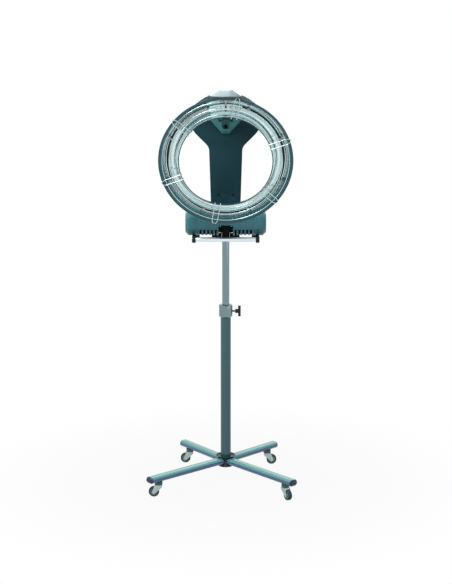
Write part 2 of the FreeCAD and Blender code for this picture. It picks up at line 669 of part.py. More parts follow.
def build_clamp():
    """Pad, screw and wing handle on a common axis along +X."""
    pad_start = "mast_radius + turning_clearance"
    screw_start = f"{pad_start} + pad_length"
    clamp_pad = new_body("clamp_pad", x=pad_start, z="clamp_level", rotation=TOWARDS_RIGHT)
    pad(clamp_pad, "XY", [circle(0, 0, "clamp_radius")], "pad_length")
    keep(clamp_pad, "clamp_pad")

    screw = new_body("clamp_screw", x=screw_start, z="clamp_level", rotation=TOWARDS_RIGHT)
    pad(screw, "XY", [circle(0, 0, "clamp_radius")], f"clamp_hub_start + 4 - ({screw_start})")
    keep(screw, "clamp_screw")

    handle = new_body("clamp_handle", x="clamp_hub_start", z="clamp_level", rotation=TOWARDS_RIGHT)
    revolve(handle, [[
        (0, 4), ("clamp_radius", 4), ("clamp_radius", 0), ("clamp_hub_radius - 1.5", 0),
        ("clamp_hub_radius", 1.5), ("clamp_hub_radius - 1.5", "clamp_hub_length"),
        (0, "clamp_hub_length"),
    ]])
    tip = "(wing_length / 2 - wing_radius)"
    lean = "sqrt(wing_radius ^ 2 - wing_waist ^ 2)"
    wing = [(f"-{tip} + {lean}", "-wing_waist"), (f"{tip} - {lean}", "-wing_waist", "wing_radius", 1),
            (f"{tip} + wing_radius", 0, "wing_radius", 1), (f"{tip} - {lean}", "wing_waist"),
            (f"-{tip} + {lean}", "wing_waist", "wing_radius", 1),
            (f"-{tip} - wing_radius", 0, "wing_radius", 1)]
    pad(handle, "XY", [wing], "wing_radius * 2", offset="clamp_hub_length - 2")
    keep(handle, "clamp_handle")


def build_socket():
    socket = new_body("mast_socket")
    flange_top = "mast_top + socket_flange_height"
    spigot = "mast_radius - mast_wall - turning_clearance"
    revolve(socket, [[
        (0, "mast_top - socket_spigot_length"), (spigot, "mast_top - socket_spigot_length"),
        (spigot, "mast_top"), ("socket_flange_radius", "mast_top"),
        ("socket_flange_radius", flange_top), (0, flange_top),
    ]])
    radius = "socket_tongue_radius"
    pad(socket, "YZ", [[
        (f"-{radius}", f"{flange_top} - 2"), (radius, f"{flange_top} - 2"),
        (radius, "tilt_level", radius, 1), (0, f"tilt_level + {radius}", radius, 1),
        (f"-{radius}", "tilt_level"),
    ]], "socket_width", both_ways=True)
    pocket(socket, "YZ", [circle(0, "tilt_level", "tilt_pin_radius + turning_clearance")],
           both_ways=True)
    keep(socket, "mast_socket")


# Head: chassis, control housing, handle bar and controls

def housing_section(gap="0"):
    """Section of the housing in the YZ plane, smaller by a gap all round."""
    front, back = f"(housing_front + {gap})", f"(housing_back - {gap})"
    floor, top = f"(housing_floor + {gap})", f"({HOUSING_TOP} - {gap})"
    wide, tight = f"(housing_front_round - {gap})", f"(housing_rear_round - {gap})"
    return [
        (f"{front} + {wide}", floor), (f"{back} - {tight}", floor, tight, 1),
        (back, f"{floor} + {tight}"), (back, f"{top} - {tight}", tight, 1),
        (f"{back} - {tight}", top), (f"{front} + {wide}", top, wide, 1),
        (front, f"{top} - {wide}"), (front, f"{floor} + {wide}", wide, 1),
    ]


def build_chassis():
    chassis = new_body("chassis_plate")
    half = "chassis_half_width"
    pad(chassis, "XY", [box(f"-{half}", half, "housing_front + housing_wall + 2",
                            "housing_back - housing_wall - face_clearance")],
        "chassis_thickness", offset="chassis_level")
    radius = "(socket_tongue_radius - 1)"
    ear = [(f"-{radius}", "tilt_level", radius, 1), (0, f"tilt_level - {radius}", radius, 1),
           (radius, "tilt_level"), (f"{radius} + 6", "chassis_level + 1"),
           (f"-{radius} - 6", "chassis_level + 1")]
    skirt = [(f"-{radius}", "tilt_level"), (f"-{radius}", "cradle_foot"), (radius, "cradle_foot"),
             (radius, "tilt_level")]
    deep, bend = "cradle_half_depth", "cradle_round"
    cheek = [
        (f"-{deep}", "housing_floor - face_clearance"), (f"-{deep}", f"cradle_foot + {bend}", bend, 1),
        (f"-{deep} + {bend}", "cradle_foot"), (f"{deep} - {bend}", "cradle_foot", bend, 1),
        (deep, f"cradle_foot + {bend}"), (deep, "housing_floor - face_clearance"),
    ]
    for start, backwards in ((EAR_FACE, False), (f"-{EAR_FACE}", True)):
        pad(chassis, "YZ", [ear], "ear_thickness", offset=start, backwards=backwards)
        pad(chassis, "YZ", [skirt], "ear_thickness", offset=start, backwards=backwards)
        pad(chassis, "YZ", [cheek], f"cradle_half_width - {EAR_FACE}", offset=start, backwards=backwards)
    pocket(chassis, "YZ", [circle(0, "tilt_level", "tilt_pin_radius + turning_clearance")],
           both_ways=True)
    keep(chassis, "chassis_plate")

    pin = new_body("tilt_pin", z="tilt_level", rotation=TOWARDS_RIGHT)
    shank = f"({EAR_FACE} + ear_thickness + 0.1)"
    revolve(pin, [[
        (0, f"-{shank} - pin_head_length"), ("pin_head_radius", f"-{shank} - pin_head_length"),
        ("pin_head_radius", f"-{shank}"), ("tilt_pin_radius", f"-{shank}"),
        ("tilt_pin_radius", shank), ("pin_head_radius", shank),
        ("pin_head_radius", f"{shank} + pin_head_length"), (0, f"{shank} + pin_head_length"),
    ]])
    keep(pin, "tilt_pin")


def vent_slots():
    half, bottom = "vent_width / 2", "housing_floor - vent_overrun"
    slots = []
    for side in ("", "-"):
        for index in range(int(number("vent_count"))):
            middle = f"{side}(vent_first + {index} * vent_pitch)"
            slots.append([
                (f"{middle} - {half}", bottom), (f"{middle} + {half}", bottom),
                (f"{middle} + {half}", f"vent_top - {half} / 2"), (f"{middle} + {half} / 2", "vent_top"),
                (f"{middle} - {half} / 2", "vent_top"), (f"{middle} - {half}", f"vent_top - {half} / 2"),
            ])
    return slots


def build_housing_shell(name, y_from, y_to):
    """Front or rear half of the hollow housing, open at both ends and round the spine."""
    shell = new_body(name)
    loops = [housing_section(), housing_section("housing_wall")]
    pad(shell, "YZ", loops, "2 * housing_half_width", both_ways=True)
    away = [box(y_from, y_to, "housing_floor - 10", f"{HOUSING_TOP} + 10")]
    pocket(shell, "YZ", away, both_ways=True)
    gap = "2 * face_clearance"
    spine = box(f"-neck_low - {gap} - 2", f"neck_low + {gap} + 2", f"spine_face - {gap}",
                f"spine_back + {gap}")
    pocket(shell, "XY", [spine], 60, offset=f"{HOUSING_TOP} - 20", backwards=True)
    slot = box("-recess_half_width", "recess_half_width", "housing_front - 1", "spine_back")
    pocket(shell, "XY", [slot], 20, offset="housing_floor + housing_wall + 1")
    return shell


def build_housing():
    front = build_housing_shell("housing_front", "housing_split", "housing_back + 10")
    half, top, bend = "recess_half_width", "recess_top", "recess_round"
    recess = [(f"-{half}", "housing_floor - 5"), (half, "housing_floor - 5"),
              (half, f"{top} - {bend}", bend, 1), (f"{half} - {bend}", top),
              (f"-{half} + {bend}", top, bend, 1), (f"-{half}", f"{top} - {bend}")]
    pocket(front, "XZ", [recess], 60, offset="-housing_split + 1", backwards=True)
    pocket(front, "XZ", vent_slots(), 60, offset="-housing_split - 6", backwards=True)
    keep(front, "housing_front")

    rear = build_housing_shell("housing_rear", "housing_front - 10", "housing_split")
    wall = "housing_wall + 1"
    holes = [circle(f"key_first_x + {index} * key_pitch", "key_level", "key_stem_radius + 0.4")
             for index in range(int(number("key_count")))]
    holes.append(circle("gland_x", "gland_level", "gland_thread_radius + plug_clearance"))
    holes.append(box("rocker_x - rocker_half_width - 0.6", "rocker_x + rocker_half_width + 0.6",
                     "rocker_level - rocker_half_height - 2", "rocker_level + rocker_half_height + 2"))
    pocket(rear, "XZ", holes, f"{wall} + 1", offset="-housing_back - 1", backwards=True)
    keep(rear, "housing_rear")

    for name, side in (("end_cap_left", "-"), ("end_cap_right", "")):
        cap = new_body(name)
        toward_left = side == "-"
        pad(cap, "YZ", [housing_section()], "end_cap_width", offset=f"{side}housing_half_width",
            backwards=toward_left)
        end = number(f"{side}(housing_half_width + end_cap_width)")
        bevel(cap, "Chamfer", "end_cap_bevel",
              lambda edge: all(abs(vertex.X - end) < 0.01 for vertex in edge.Vertexes))
        hollow = box("housing_front + end_cap_hollow", "housing_back - end_cap_hollow",
                     "housing_floor + end_cap_hollow", f"{HOUSING_TOP} - end_cap_hollow")
        pocket(cap, "YZ", [hollow], "end_cap_width - end_cap_hollow",
               offset=f"{side}housing_half_width", backwards=not toward_left)
        keep(cap, name)


def build_handle():
    bar = new_body("handle_bar", x="-bar_half_length", y="bar_y", z="bar_z", rotation=TOWARDS_RIGHT)
    revolve(bar, [[
        (0, 0), ("bar_radius - 1.5", 0), ("bar_radius", 1.5),
        ("bar_radius", "2 * bar_half_length - 1.5"), ("bar_radius - 1.5", "2 * bar_half_length"),
        (0, "2 * bar_half_length"),
    ]])
    keep(bar, "handle_bar")

    eye = "(bar_radius + bracket_wall)"
    front = "(housing_front + housing_front_round)"
    back = f"({front} + bracket_foot_depth)"
    outline = [
        (f"bar_y - {eye}", "bar_z", eye, 1), ("bar_y", f"bar_z - {eye}"),
        (back, "housing_floor - bracket_arm_height"), (back, "housing_floor"), (front, "housing_floor"),
        (f"bar_y + {eye} * cos(bracket_neck_angle)", f"bar_z + {eye} * sin(bracket_neck_angle)", eye, 1),
        ("bar_y", f"bar_z + {eye}", eye, 1),
    ]
    foot = box(front, back, "housing_floor - bracket_foot_height", "housing_floor")
    brackets = []
    for name, side in (("bracket_left", "-"), ("bracket_right", "")):
        bracket = new_body(name)
        bore = circle("bar_y", "bar_z", "bar_radius + turning_clearance")
        pad(bracket, "YZ", [outline, bore], "bracket_thickness", offset=f"{side}bracket_x",
            backwards=side == "-")
        pad(bracket, "YZ", [foot], "bracket_foot_width", backwards=side == "",
            offset=f"{side}(bracket_x + bracket_thickness)")
        brackets.append(bracket)
    keep(combine("Part::Compound", "handle_brackets", brackets), "handle_brackets")


def build_controls():
    """Fascia on the rear face with window, keys and rocker, board behind it, cable gland."""
    half, bottom = "fascia_half_width", "fascia_bottom"
    fascia = new_body("control_fascia")
    key_places = [f"key_first_x + {index} * key_pitch" for index in range(int(number("key_count")))]
    window = box("window_x - window_width / 2", "window_x + window_width / 2",
                 "window_level - window_height / 2", "window_level + window_height / 2")
    rocker_hole = box("rocker_x - rocker_half_width - 0.6", "rocker_x + rocker_half_width + 0.6",
                      "rocker_level - rocker_half_height - 2", "rocker_level + rocker_half_height + 2")
    openings = [window, rocker_hole]
    openings += [circle(x, "key_level", "key_radius + face_clearance") for x in key_places]
    face = box(f"-{half}", half, bottom, f"{bottom} + fascia_height")
    pad(fascia, "XZ", [face] + openings, "fascia_thickness", offset="-housing_back", backwards=True)
    keep(fascia, "control_fascia")

    glass = new_body("display_window")
    gap = "plug_clearance"
    pad(glass, "XZ", [box(f"window_x - window_width / 2 + {gap}", f"window_x + window_width / 2 - {gap}",
                          f"window_level - window_height / 2 + {gap}",
                          f"window_level + window_height / 2 - {gap}")],
        "fascia_thickness - 0.5", offset="-housing_back", backwards=True)
    keep(glass, "display_window")

    switch_height = 1.2
    stem_end = f"board_face + {switch_height} + key_travel + 0.2"
    seat = "housing_back + key_travel + 0.3"
    for index, x in enumerate(key_places, 1):
        key = new_body(f"key_{index}", x=x, z="key_level", rotation=TOWARDS_BACK)
        face = "housing_back + fascia_thickness + key_proud"
        revolve(key, [[
            (0, stem_end), ("key_stem_radius", stem_end), ("key_stem_radius", seat),
            ("key_radius", seat), ("key_radius", f"{face} - 1"), ("key_radius - 1", face), (0, face),
        ]])
        keep(key, f"key_{index}")

    rocker = new_body("rocker_switch", x="rocker_x", z="rocker_level",
                      y="housing_back + fascia_thickness - rocker_pivot_depth")
    tall = "rocker_half_height"
    pad(rocker, "YZ", [[
        (-4, f"-{tall} + 1"), ("rocker_proud", f"-{tall}"), ("rocker_proud - 1.5", 0),
        ("rocker_proud", tall), (-4, f"{tall} - 1"),
    ]], "2 * rocker_half_width", both_ways=True)
    pad(rocker, "YZ", [circle(0, 0, "rocker_pivot_radius")],
        "2 * (rocker_half_width + rocker_pivot_reach)", both_ways=True)
    keep(rocker, "rocker_switch")

    board = new_body("control_board")
    floor = "housing_floor + housing_wall + 0.2"
    pad(board, "XZ", [box("board_x - board_half_width", "board_x + board_half_width", floor,
                          f"{floor} + board_height")],
        "board_thickness", offset="-board_face")
    switches = [circle(x, "key_level", "key_stem_radius") for x in key_places]
    pad(board, "XZ", switches, switch_height, offset="-board_face", backwards=True)
    keep(board, "control_board")

    gland = new_body("cable_gland", x="gland_x", z="gland_level", rotation=TOWARDS_BACK)
    tip = "housing_back + gland_proud"
    revolve(gland, [[
        ("gland_bore", "housing_back - housing_wall - gland_inside"),
        ("gland_thread_radius", "housing_back - housing_wall - gland_inside"),
        ("gland_thread_radius", "housing_back"), ("gland_radius", "housing_back"),
        ("gland_radius", "housing_back + 4"), ("gland_thread_radius", "housing_back + 5"),
        ("gland_thread_radius", f"{tip} - 3"), ("gland_bore + 1.5", tip), ("gland_bore", tip),
    ]])
    keep(gland, "cable_gland")


# Spine and arch: front plate, rear shell, keel and steel frame

def spine_half_outline(gap):
    """Right half of the spine's front view, from its foot to the top of the arch."""
    neck_x, neck_z = f"(neck_high - {gap})", "neck_top"
    flare_x = f"({neck_x} + flare_radius * (1 - cos(flare_angle)))"
    flare_z = f"({neck_z} + flare_radius * sin(flare_angle))"
    arm_x = f"({flare_x} + flare_run)"
    arm_z = f"({flare_z} + flare_run * tan(flare_angle))"
    bend_x = f"({arm_x} + arm_radius * (sin(arm_angle) - sin(flare_angle)))"
    bend_z = f"({arm_z} + arm_radius * (cos(flare_angle) - cos(arm_angle)))"
    side_x = f"({bend_x} + arm_run * cos(arm_angle))"
    side_z = f"({bend_z} + arm_run * sin(arm_angle))"
    top_x = f"({side_x} + shoulder_radius * (sin(shoulder_angle) - sin(arm_angle)))"
    top_z = f"({side_z} + shoulder_radius * (cos(arm_angle) - cos(shoulder_angle)))"
    crown_x = f"(crown_half_width - {gap})"
    crown_z = f"({top_z} + ({top_x} - {crown_x}) * tan(180 - shoulder_angle))"
    return [
        (f"neck_low - {gap}", "spine_foot - 5"), (neck_x, neck_z, "flare_radius", -1),
        (flare_x, flare_z), (arm_x, arm_z, "arm_radius", 1),
        (bend_x, bend_z), (side_x, side_z, "shoulder_radius", 1),
        (top_x, top_z), (crown_x, crown_z),
        (f"cap_half_width - {gap}", "cap_level"), (f"cap_half_width - {gap}", "cap_level + 50"),
    ]


def mirrored(half_outline):
    """Close a right-hand outline with its own mirror image."""
    left = []
    for index in range(len(half_outline) - 1, -1, -1):
        x, z = half_outline[index][:2]
        arc = half_outline[index - 1][2:] if index else ()
        left.append((f"-({x})", z, *arc))
    return half_outline + left


def hood(name, front_gap, back_gap, side_gap):
    """Solid of the spine between gaps behind its front and before its back and sides."""
    body = new_body(name)
    front = f"(spine_face + {front_gap})"
    bend = f"(arch_radius + {front_gap})"
    bend_y = f"(spine_face - arch_radius + {bend} * sin(arch_slope))"
    bend_z = f"(arch_start + {bend} * cos(arch_slope))"
    floor = f"(pod_floor + {front_gap})"
    floor_y = f"({bend_y} - ({floor} - {bend_z}) / tan(arch_slope))"
    tip = f"(pod_tip + {side_gap})"
    back = f"(spine_back - {back_gap})"
    crown = f"(crown_radius - {back_gap})"
    crown_y = f"(spine_back - crown_radius + {crown} * sin(crown_slope))"
    crown_z = f"(crown_start + {crown} * cos(crown_slope))"
    nose_y = f"({tip} + nose_round)"
    nose_z = f"({crown_z} + ({crown_y} - {nose_y}) * tan(crown_slope))"
    profile = [
        (front, "spine_foot"), (front, "arch_start", bend, 1), (bend_y, bend_z),
        (floor_y, floor), (tip, floor), (tip, f"{nose_z} - nose_round", "nose_round", -1),
        (nose_y, nose_z), (crown_y, crown_z, crown, -1), (back, "crown_start"),
        (back, "spine_foot"),
    ]
    pad(body, "YZ", [profile], CUT_REACH, both_ways=True)
    frame = box(-CUT_REACH, CUT_REACH, CUT_REACH, 2 * CUT_REACH)
    pocket(body, "XZ", [frame, mirrored(spine_half_outline(side_gap))], 2 * CUT_REACH, both_ways=True)
    radius = f"(pod_radius - {side_gap})"
    middle = "(pod_tip + pod_radius)"
    nose = [(-CUT_REACH, middle), (f"-{radius}", middle, radius, 1), (0, f"{middle} - {radius}", radius, 1),
            (radius, middle), (CUT_REACH, middle), (CUT_REACH, -CUT_REACH), (-CUT_REACH, -CUT_REACH)]
    pocket(body, "XY", [nose], 4 * CUT_REACH, both_ways=True)
    return body


def keel_bend(gap):
    """Where the rounded apex of the keel's front view turns into its sloping side."""
    flat = f"(keel_apex_half - {gap} / 2)"
    return (f"({flat} + keel_round * sin(keel_slope))",
            f"(keel_apex + {gap} + keel_round * (1 - cos(keel_slope)))", flat)


def keel_block(name, gap, y_from, y_to):
    """Upright V-shaped prism of the keel's front view."""
    block = new_body(name)
    bend_x, bend_z, flat = keel_bend(gap)
    top = f"(keel_top - {gap})"
    top_x = f"({bend_x} + ({top} - {bend_z}) / tan(keel_slope))"
    half = [(flat, f"(keel_apex + {gap})", "keel_round", 1), (bend_x, bend_z), (top_x, top)]
    pad(block, "XZ", [mirrored(half)], f"{y_to} - ({y_from})", offset=f"-({y_to})")
    return block


def inner_side(name, inward, x=0, y=0, z=0):
    """Block of all that lies on the inner side of a plane through a point."""
    normal = FreeCAD.Vector(*[number(part) for part in inward])
    block = new_body(name, x, y, z, FreeCAD.Rotation(FreeCAD.Vector(*Z_AXIS), normal))
    pad(block, "XY", [box(-CUT_REACH, CUT_REACH, -CUT_REACH, CUT_REACH)], CUT_REACH)
    return block


def keel_form(name, gap, back):
    """Faceted keel, smaller by a gap all round: its V, cut by two side facets, foot and front."""
    bend_x, bend_z, flat = keel_bend(gap)
    start = f"(spine_face - keel_step + {gap} / 2)"
    sideways, upwards = "sin(keel_facet) * sin(keel_slope)", "sin(keel_facet) * cos(keel_slope)"
    front = ("0", "cos(keel_lean)", "sin(keel_lean)")
    planes = [
        inner_side(f"{name}_right", (f"-{sideways}", "cos(keel_facet)", upwards), bend_x, start, bend_z),
        inner_side(f"{name}_left", (sideways, "cos(keel_facet)", upwards), f"-{bend_x}", start, bend_z),
        inner_side(f"{name}_foot", ("0", "cos(keel_facet)", "sin(keel_facet)"), 0, start,
                   f"keel_apex + {gap}"),
        inner_side(f"{name}_front", front, 0, f"{start} - keel_nose + {gap} / 2", "keel_apex"),
    ]
    block = keel_block(f"{name}_block", gap, "-arch_start", back)
    return combine("Part::MultiCommon", name, [block] + planes)


def well_block(name, gap, floor):
    """T-shaped well of the keel: a round-footed slot under a wide band, open at the front and top."""
    block = new_body(name)
    narrow, wide, bend = f"(keel_well_half + {gap})", f"(keel_band_half + {gap})", "keel_well_round"
    foot, band = f"(keel_apex + keel_well_rise - {gap})", f"(keel_apex + keel_band_rise - {gap})"
    half = [(f"{narrow} - {bend}", foot, bend, 1), (narrow, f"{foot} + {bend}"), (narrow, band),
            (wide, band), (wide, "arch_start + arch_radius")]
    pad(block, "XZ", [mirrored(half)], CUT_REACH, offset=f"-({floor})")
    return block


def spine_holes(name, radius, places, start):
    """Round bars forward along Y from a start, for screws and screw holes."""
    bars = new_body(name)
    loops = [circle(x, z, radius) for x, z in places]
    pad(bars, "XZ", loops, CUT_REACH, offset=f"-({start})")
    return bars


def build_spine():
    whole = hood("spine_whole", "0", "0", "0")
    outer = hood("spine_outside", "plate_thickness", "0", "0")
    inner = hood("spine_inside", "(plate_thickness - 1)", "shell_wall", "(shell_wall + 0.5)")
    above = inner_side("spine_above", (0, 0, 1), z="plate_top + face_clearance")
    crown = combine("Part::MultiCommon", "crown_solid", [whole, above])
    shell = combine("Part::MultiFuse", "spine_shell_solid", [outer, crown])
    axis_hole = new_body("spine_axis_hole", y=f"-{ORBIT_REACH}", z="pod_floor - plate_thickness")
    pad(axis_hole, "XY", [circle(0, 0, "bearing_radius + plug_clearance")], "3 * plate_thickness")
    keep(cut("spine_shell", shell, combine("Part::MultiFuse", "shell_cutters", [inner, axis_hole])),
         "spine_shell")

    behind = hood("spine_behind", "plate_thickness", "-1", "-1")
    plate = cut("spine_plate_blank", whole, behind)
    opening = keel_block("keel_opening", "-face_clearance", "-arch_start", "frame_face")
    places = [(f"{side}{x}", z) for side in ("", "-")
              for x, z in (("lower_screw_x", "lower_screw_z"), ("upper_screw_x", "upper_screw_z"))]
    holes = spine_holes("spine_screw_holes", "screw_radius + plug_clearance", places, "spine_face + 6")
    trim = inner_side("plate_trim", (0, 0, 1), z="plate_top")
    tools = combine("Part::MultiFuse", "spine_cutters", [opening, trim, holes])
    keep(cut("spine_plate", plate, tools), "spine_plate")

    floor = "(spine_face + keel_floor)"
    keel = keel_form("keel_outside", "0", f"{floor} + keel_wall")
    hollow = cut("keel_hollow", keel, keel_form("keel_inside", "keel_wall", f"{floor} + 2 * keel_wall"))
    well = combine("Part::MultiCommon", "keel_well_wall",
                   [keel, well_block("keel_well_blank", "keel_wall", f"{floor} + keel_wall")])
    keel_hole = spine_holes("keel_hole", "keel_hole_radius", [("0", "keel_apex + keel_hole_rise")],
                            f"{floor} + 2 * keel_wall")
    keel_tools = combine("Part::MultiFuse", "keel_cutters", [well_block("keel_well", "0", floor), keel_hole])
    walls = combine("Part::MultiFuse", "keel_walls", [hollow, well])
    keep(cut("arch_keel", walls, keel_tools), "arch_keel")

    strip = new_body("spine_frame")
    under = "(pod_floor + plate_thickness + frame_rise)"
    centre_z = f"({under} - frame_radius)"
    centre_y = "(frame_face - frame_radius)"
    pad(strip, "YZ", [[
        ("frame_face", "chassis_level + chassis_thickness"), ("frame_face", centre_z, "frame_radius", 1),
        (centre_y, under), ("pod_tip + frame_margin", under),
        ("pod_tip + frame_margin", f"{under} + frame_thickness"),
        (centre_y, f"{under} + frame_thickness", "frame_radius + frame_thickness", -1),
        ("frame_face + frame_thickness", centre_z),
        ("frame_face + frame_thickness", "chassis_level + chassis_thickness"),
    ]], "2 * frame_half_width", both_ways=True)
    pocket(strip, "XY", [circle(0, f"-{ORBIT_REACH}", "bearing_radius + turning_clearance")],
           offset=f"{under} + frame_thickness")
    keep(strip, "spine_frame")
    build_screws()


def build_screws():
    """Four countersunk spine screws and the two round-headed ones in the keel."""
    screws = []
    for index, (x, z, start) in enumerate((
            ("lower_screw_x", "lower_screw_z", "spine_face"),
            ("-lower_screw_x", "lower_screw_z", "spine_face"),
            ("upper_screw_x", "upper_screw_z", "spine_face - 1"),
            ("-upper_screw_x", "upper_screw_z", "spine_face - 1"))):
        screw = new_body(f"spine_screw_{index}", x=x, y=start, z=z, rotation=TOWARDS_BACK)
        pad(screw, "XY", [circle(0, 0, "screw_radius")], "plate_thickness + 12")
        screws.append(screw)
    for index, side in enumerate(("", "-")):
        screw = new_body(f"keel_screw_{index}", x=f"{side}keel_screw_x", z="keel_screw_z",
                         y="spine_face + keel_floor", rotation=turned(X_AXIS, "90"))
        revolve(screw, [[
            (0, 0), ("screw_head_radius", 0), ("screw_head_radius", 1.5),
            ("screw_head_radius - 2", 3.5), (0, 4),
        ]])
        screws.append(screw)
    keep(combine("Part::Compound", "spine_screws", screws), "spine_screws")


# Ring: trough, reflector, element, guard and drive. Local Z is the ring's own axis, away
# from its open face, and local -Y is its top.

def ring_body(name, roll=0):
    rotation = TILT.multiply(turned(Z_AXIS, roll))
    return new_body(name, y="-ring_reach", z=RING_LEVEL, rotation=rotation)


def trough_outline(gap, sheet_thickness):
    """Open trough section: down one face of the sheet and back up the other."""
    outer = "(ring_outer - ring_outer_lip)"
    inner = "(ring_inner + ring_inner_lip)"
    floor = "(ring_depth - ring_round)"
    section = []
    for depth, flat in ((f"({gap})", 0), (f"({gap} + {sheet_thickness})", 1)):
        side = [
            (f"{outer} - {depth}", f"{gap} / 2 + ring_sheet * {1 if gap == '0' and not flat else 0}"),
            (f"{outer} - ring_outer_batter - {depth}", floor),
            (f"{outer} - ring_outer_batter - ring_round", f"ring_depth - {depth}"),
            (f"{inner} + ring_inner_batter + ring_round", f"ring_depth - {depth}"),
            (f"{inner} + ring_inner_batter + {depth}", floor),
            (f"{inner} + {depth}", f"{gap} / 2 + ring_sheet * {1 if gap == '0' and not flat else 0}"),
        ]
        section.append(side)
    return section


def build_ring():
    outside, inside = trough_outline("0", "ring_sheet")
    shell = ring_body("ring_trough")
    lips = [("ring_inner", "ring_sheet"), ("ring_inner", 0)]
    outer_lip = [("ring_outer", 0), ("ring_outer", "ring_sheet")]
    revolve(shell, [outside + lips + inside[::-1] + outer_lip])
    shaft_hole = new_body("ring_shaft_hole", y=f"-{ORBIT_REACH}", z=HANGER_FOOT)
    pad(shaft_hole, "XY", [circle(0, 0, "hanger_boss_radius + face_clearance")], 40)
    keep(cut("ring_shell", shell, shaft_hole), "ring_shell")

    outside, inside = trough_outline("(ring_sheet + reflector_gap)", "reflector_sheet")
    lining = ring_body("reflector_lining")
    revolve(lining, [outside + inside[::-1]])
    keep(cut("reflector", lining, shaft_hole), "reflector")

    element = ring_body("heating_element")
    size = "element_thickness"
    hexagon = [(f"{ELEMENT_RADIUS} + {size} * cos({60 * corner})",
                f"element_depth + {size} * sin({60 * corner})") for corner in range(6)]
    revolve(element, [hexagon], plane="YZ", angle="360 - cover_angle - 0.2")
    keep(element, "heating_element")

    cover = ring_body("terminal_cover_sector")
    back = "ring_depth - ring_sheet - reflector_gap - reflector_sheet - 0.2"
    revolve(cover, [[
        (f"-{COVER_OUTER}", "cover_front + cover_bevel"), (f"-{COVER_OUTER} + cover_bevel", "cover_front"),
        (f"-{COVER_INNER} - cover_bevel", "cover_front"), (f"-{COVER_INNER}", "cover_front + cover_bevel"),
        (f"-{COVER_INNER}", back), (f"-{COVER_OUTER}", back),
    ]], plane="YZ", angle="cover_angle")
    stud_hole = new_body("cover_stud_hole", y=f"-{ORBIT_REACH}", z=f"{HANGER_FOOT} - shaft_drop - 1")
    pad(stud_hole, "XY", [circle(0, 0, "shaft_radius + face_clearance")], 60)
    keep(cut("terminal_cover", cover, stud_hole), "terminal_cover")

    build_clips()
    build_guard()


def build_clips():
    """Bent straps that cradle the element above the reflector."""
    clips = ring_body("element_clips", roll="clip_first")
    cradle = "(element_thickness + 0.3)"
    seat = "ring_depth - ring_sheet - reflector_gap - reflector_sheet - 0.2"
    half = "clip_half_height"
    strap = [
        (f"-{ELEMENT_RADIUS} - {half}", seat), (f"-{ELEMENT_RADIUS} + {half}", seat),
        (f"-{ELEMENT_RADIUS} + {half}", f"element_depth - {cradle} - 1"),
        (f"-{ELEMENT_RADIUS} + {cradle}", f"element_depth - {cradle} - 1"),
        (f"-{ELEMENT_RADIUS} + {cradle}", f"element_depth + {cradle}"),
        (f"-{ELEMENT_RADIUS} - {cradle}", f"element_depth + {cradle}"),
        (f"-{ELEMENT_RADIUS} - {cradle}", f"element_depth - {cradle} - 1"),
        (f"-{ELEMENT_RADIUS} - {half}", f"element_depth - {cradle} - 1"),
    ]
    strap_pad = pad(clips, "YZ", [strap], "clip_width", both_ways=True)
    polar(clips, strap_pad, "clip_count")
    keep(clips, "element_clips")


def build_guard():
    """Welded guard: three hoops behind six double ties that hook over both rims."""
    guard = ring_body("wire_guard", roll="tie_first")
    wire = "guard_wire"
    front = f"(-face_clearance - 2 * {wire})"
    hoops = [[(f"{radius} + {wire} * cos({90 * corner})", f"{wire} * sin({90 * corner})")
              for corner in range(4)]
             for radius in HOOPS]
    outer = "(ring_outer + face_clearance)"
    inner = "(ring_inner - 2 * face_clearance)"
    tie = [
        (f"-{outer} - 2 * {wire}", front), (f"-{inner} + 2 * {wire}", front),
        (f"-{inner} + 2 * {wire}", "tie_hook"), (f"-{inner}", "tie_hook"),
        (f"-{inner}", "-face_clearance"), (f"-{outer}", "-face_clearance"),
        (f"-{outer}", "tie_hook"), (f"-{outer} - 2 * {wire}", "tie_hook"),
    ]
    tie_pad = pad(guard, "YZ", [tie], f"tie_spread + 2 * {wire}", both_ways=True)
    gap = [box(f"-{outer}", f"-{inner} + 3 * {wire}", -10, "tie_hook + 5")]
    tie_gap = pocket(guard, "YZ", gap, f"tie_spread - 2 * {wire}", both_ways=True)
    pattern = polar(guard, tie_pad, "tie_count")
    pattern.Originals = [tie_pad, tie_gap]
    revolve(guard, hoops)
    keep(guard, "wire_guard")


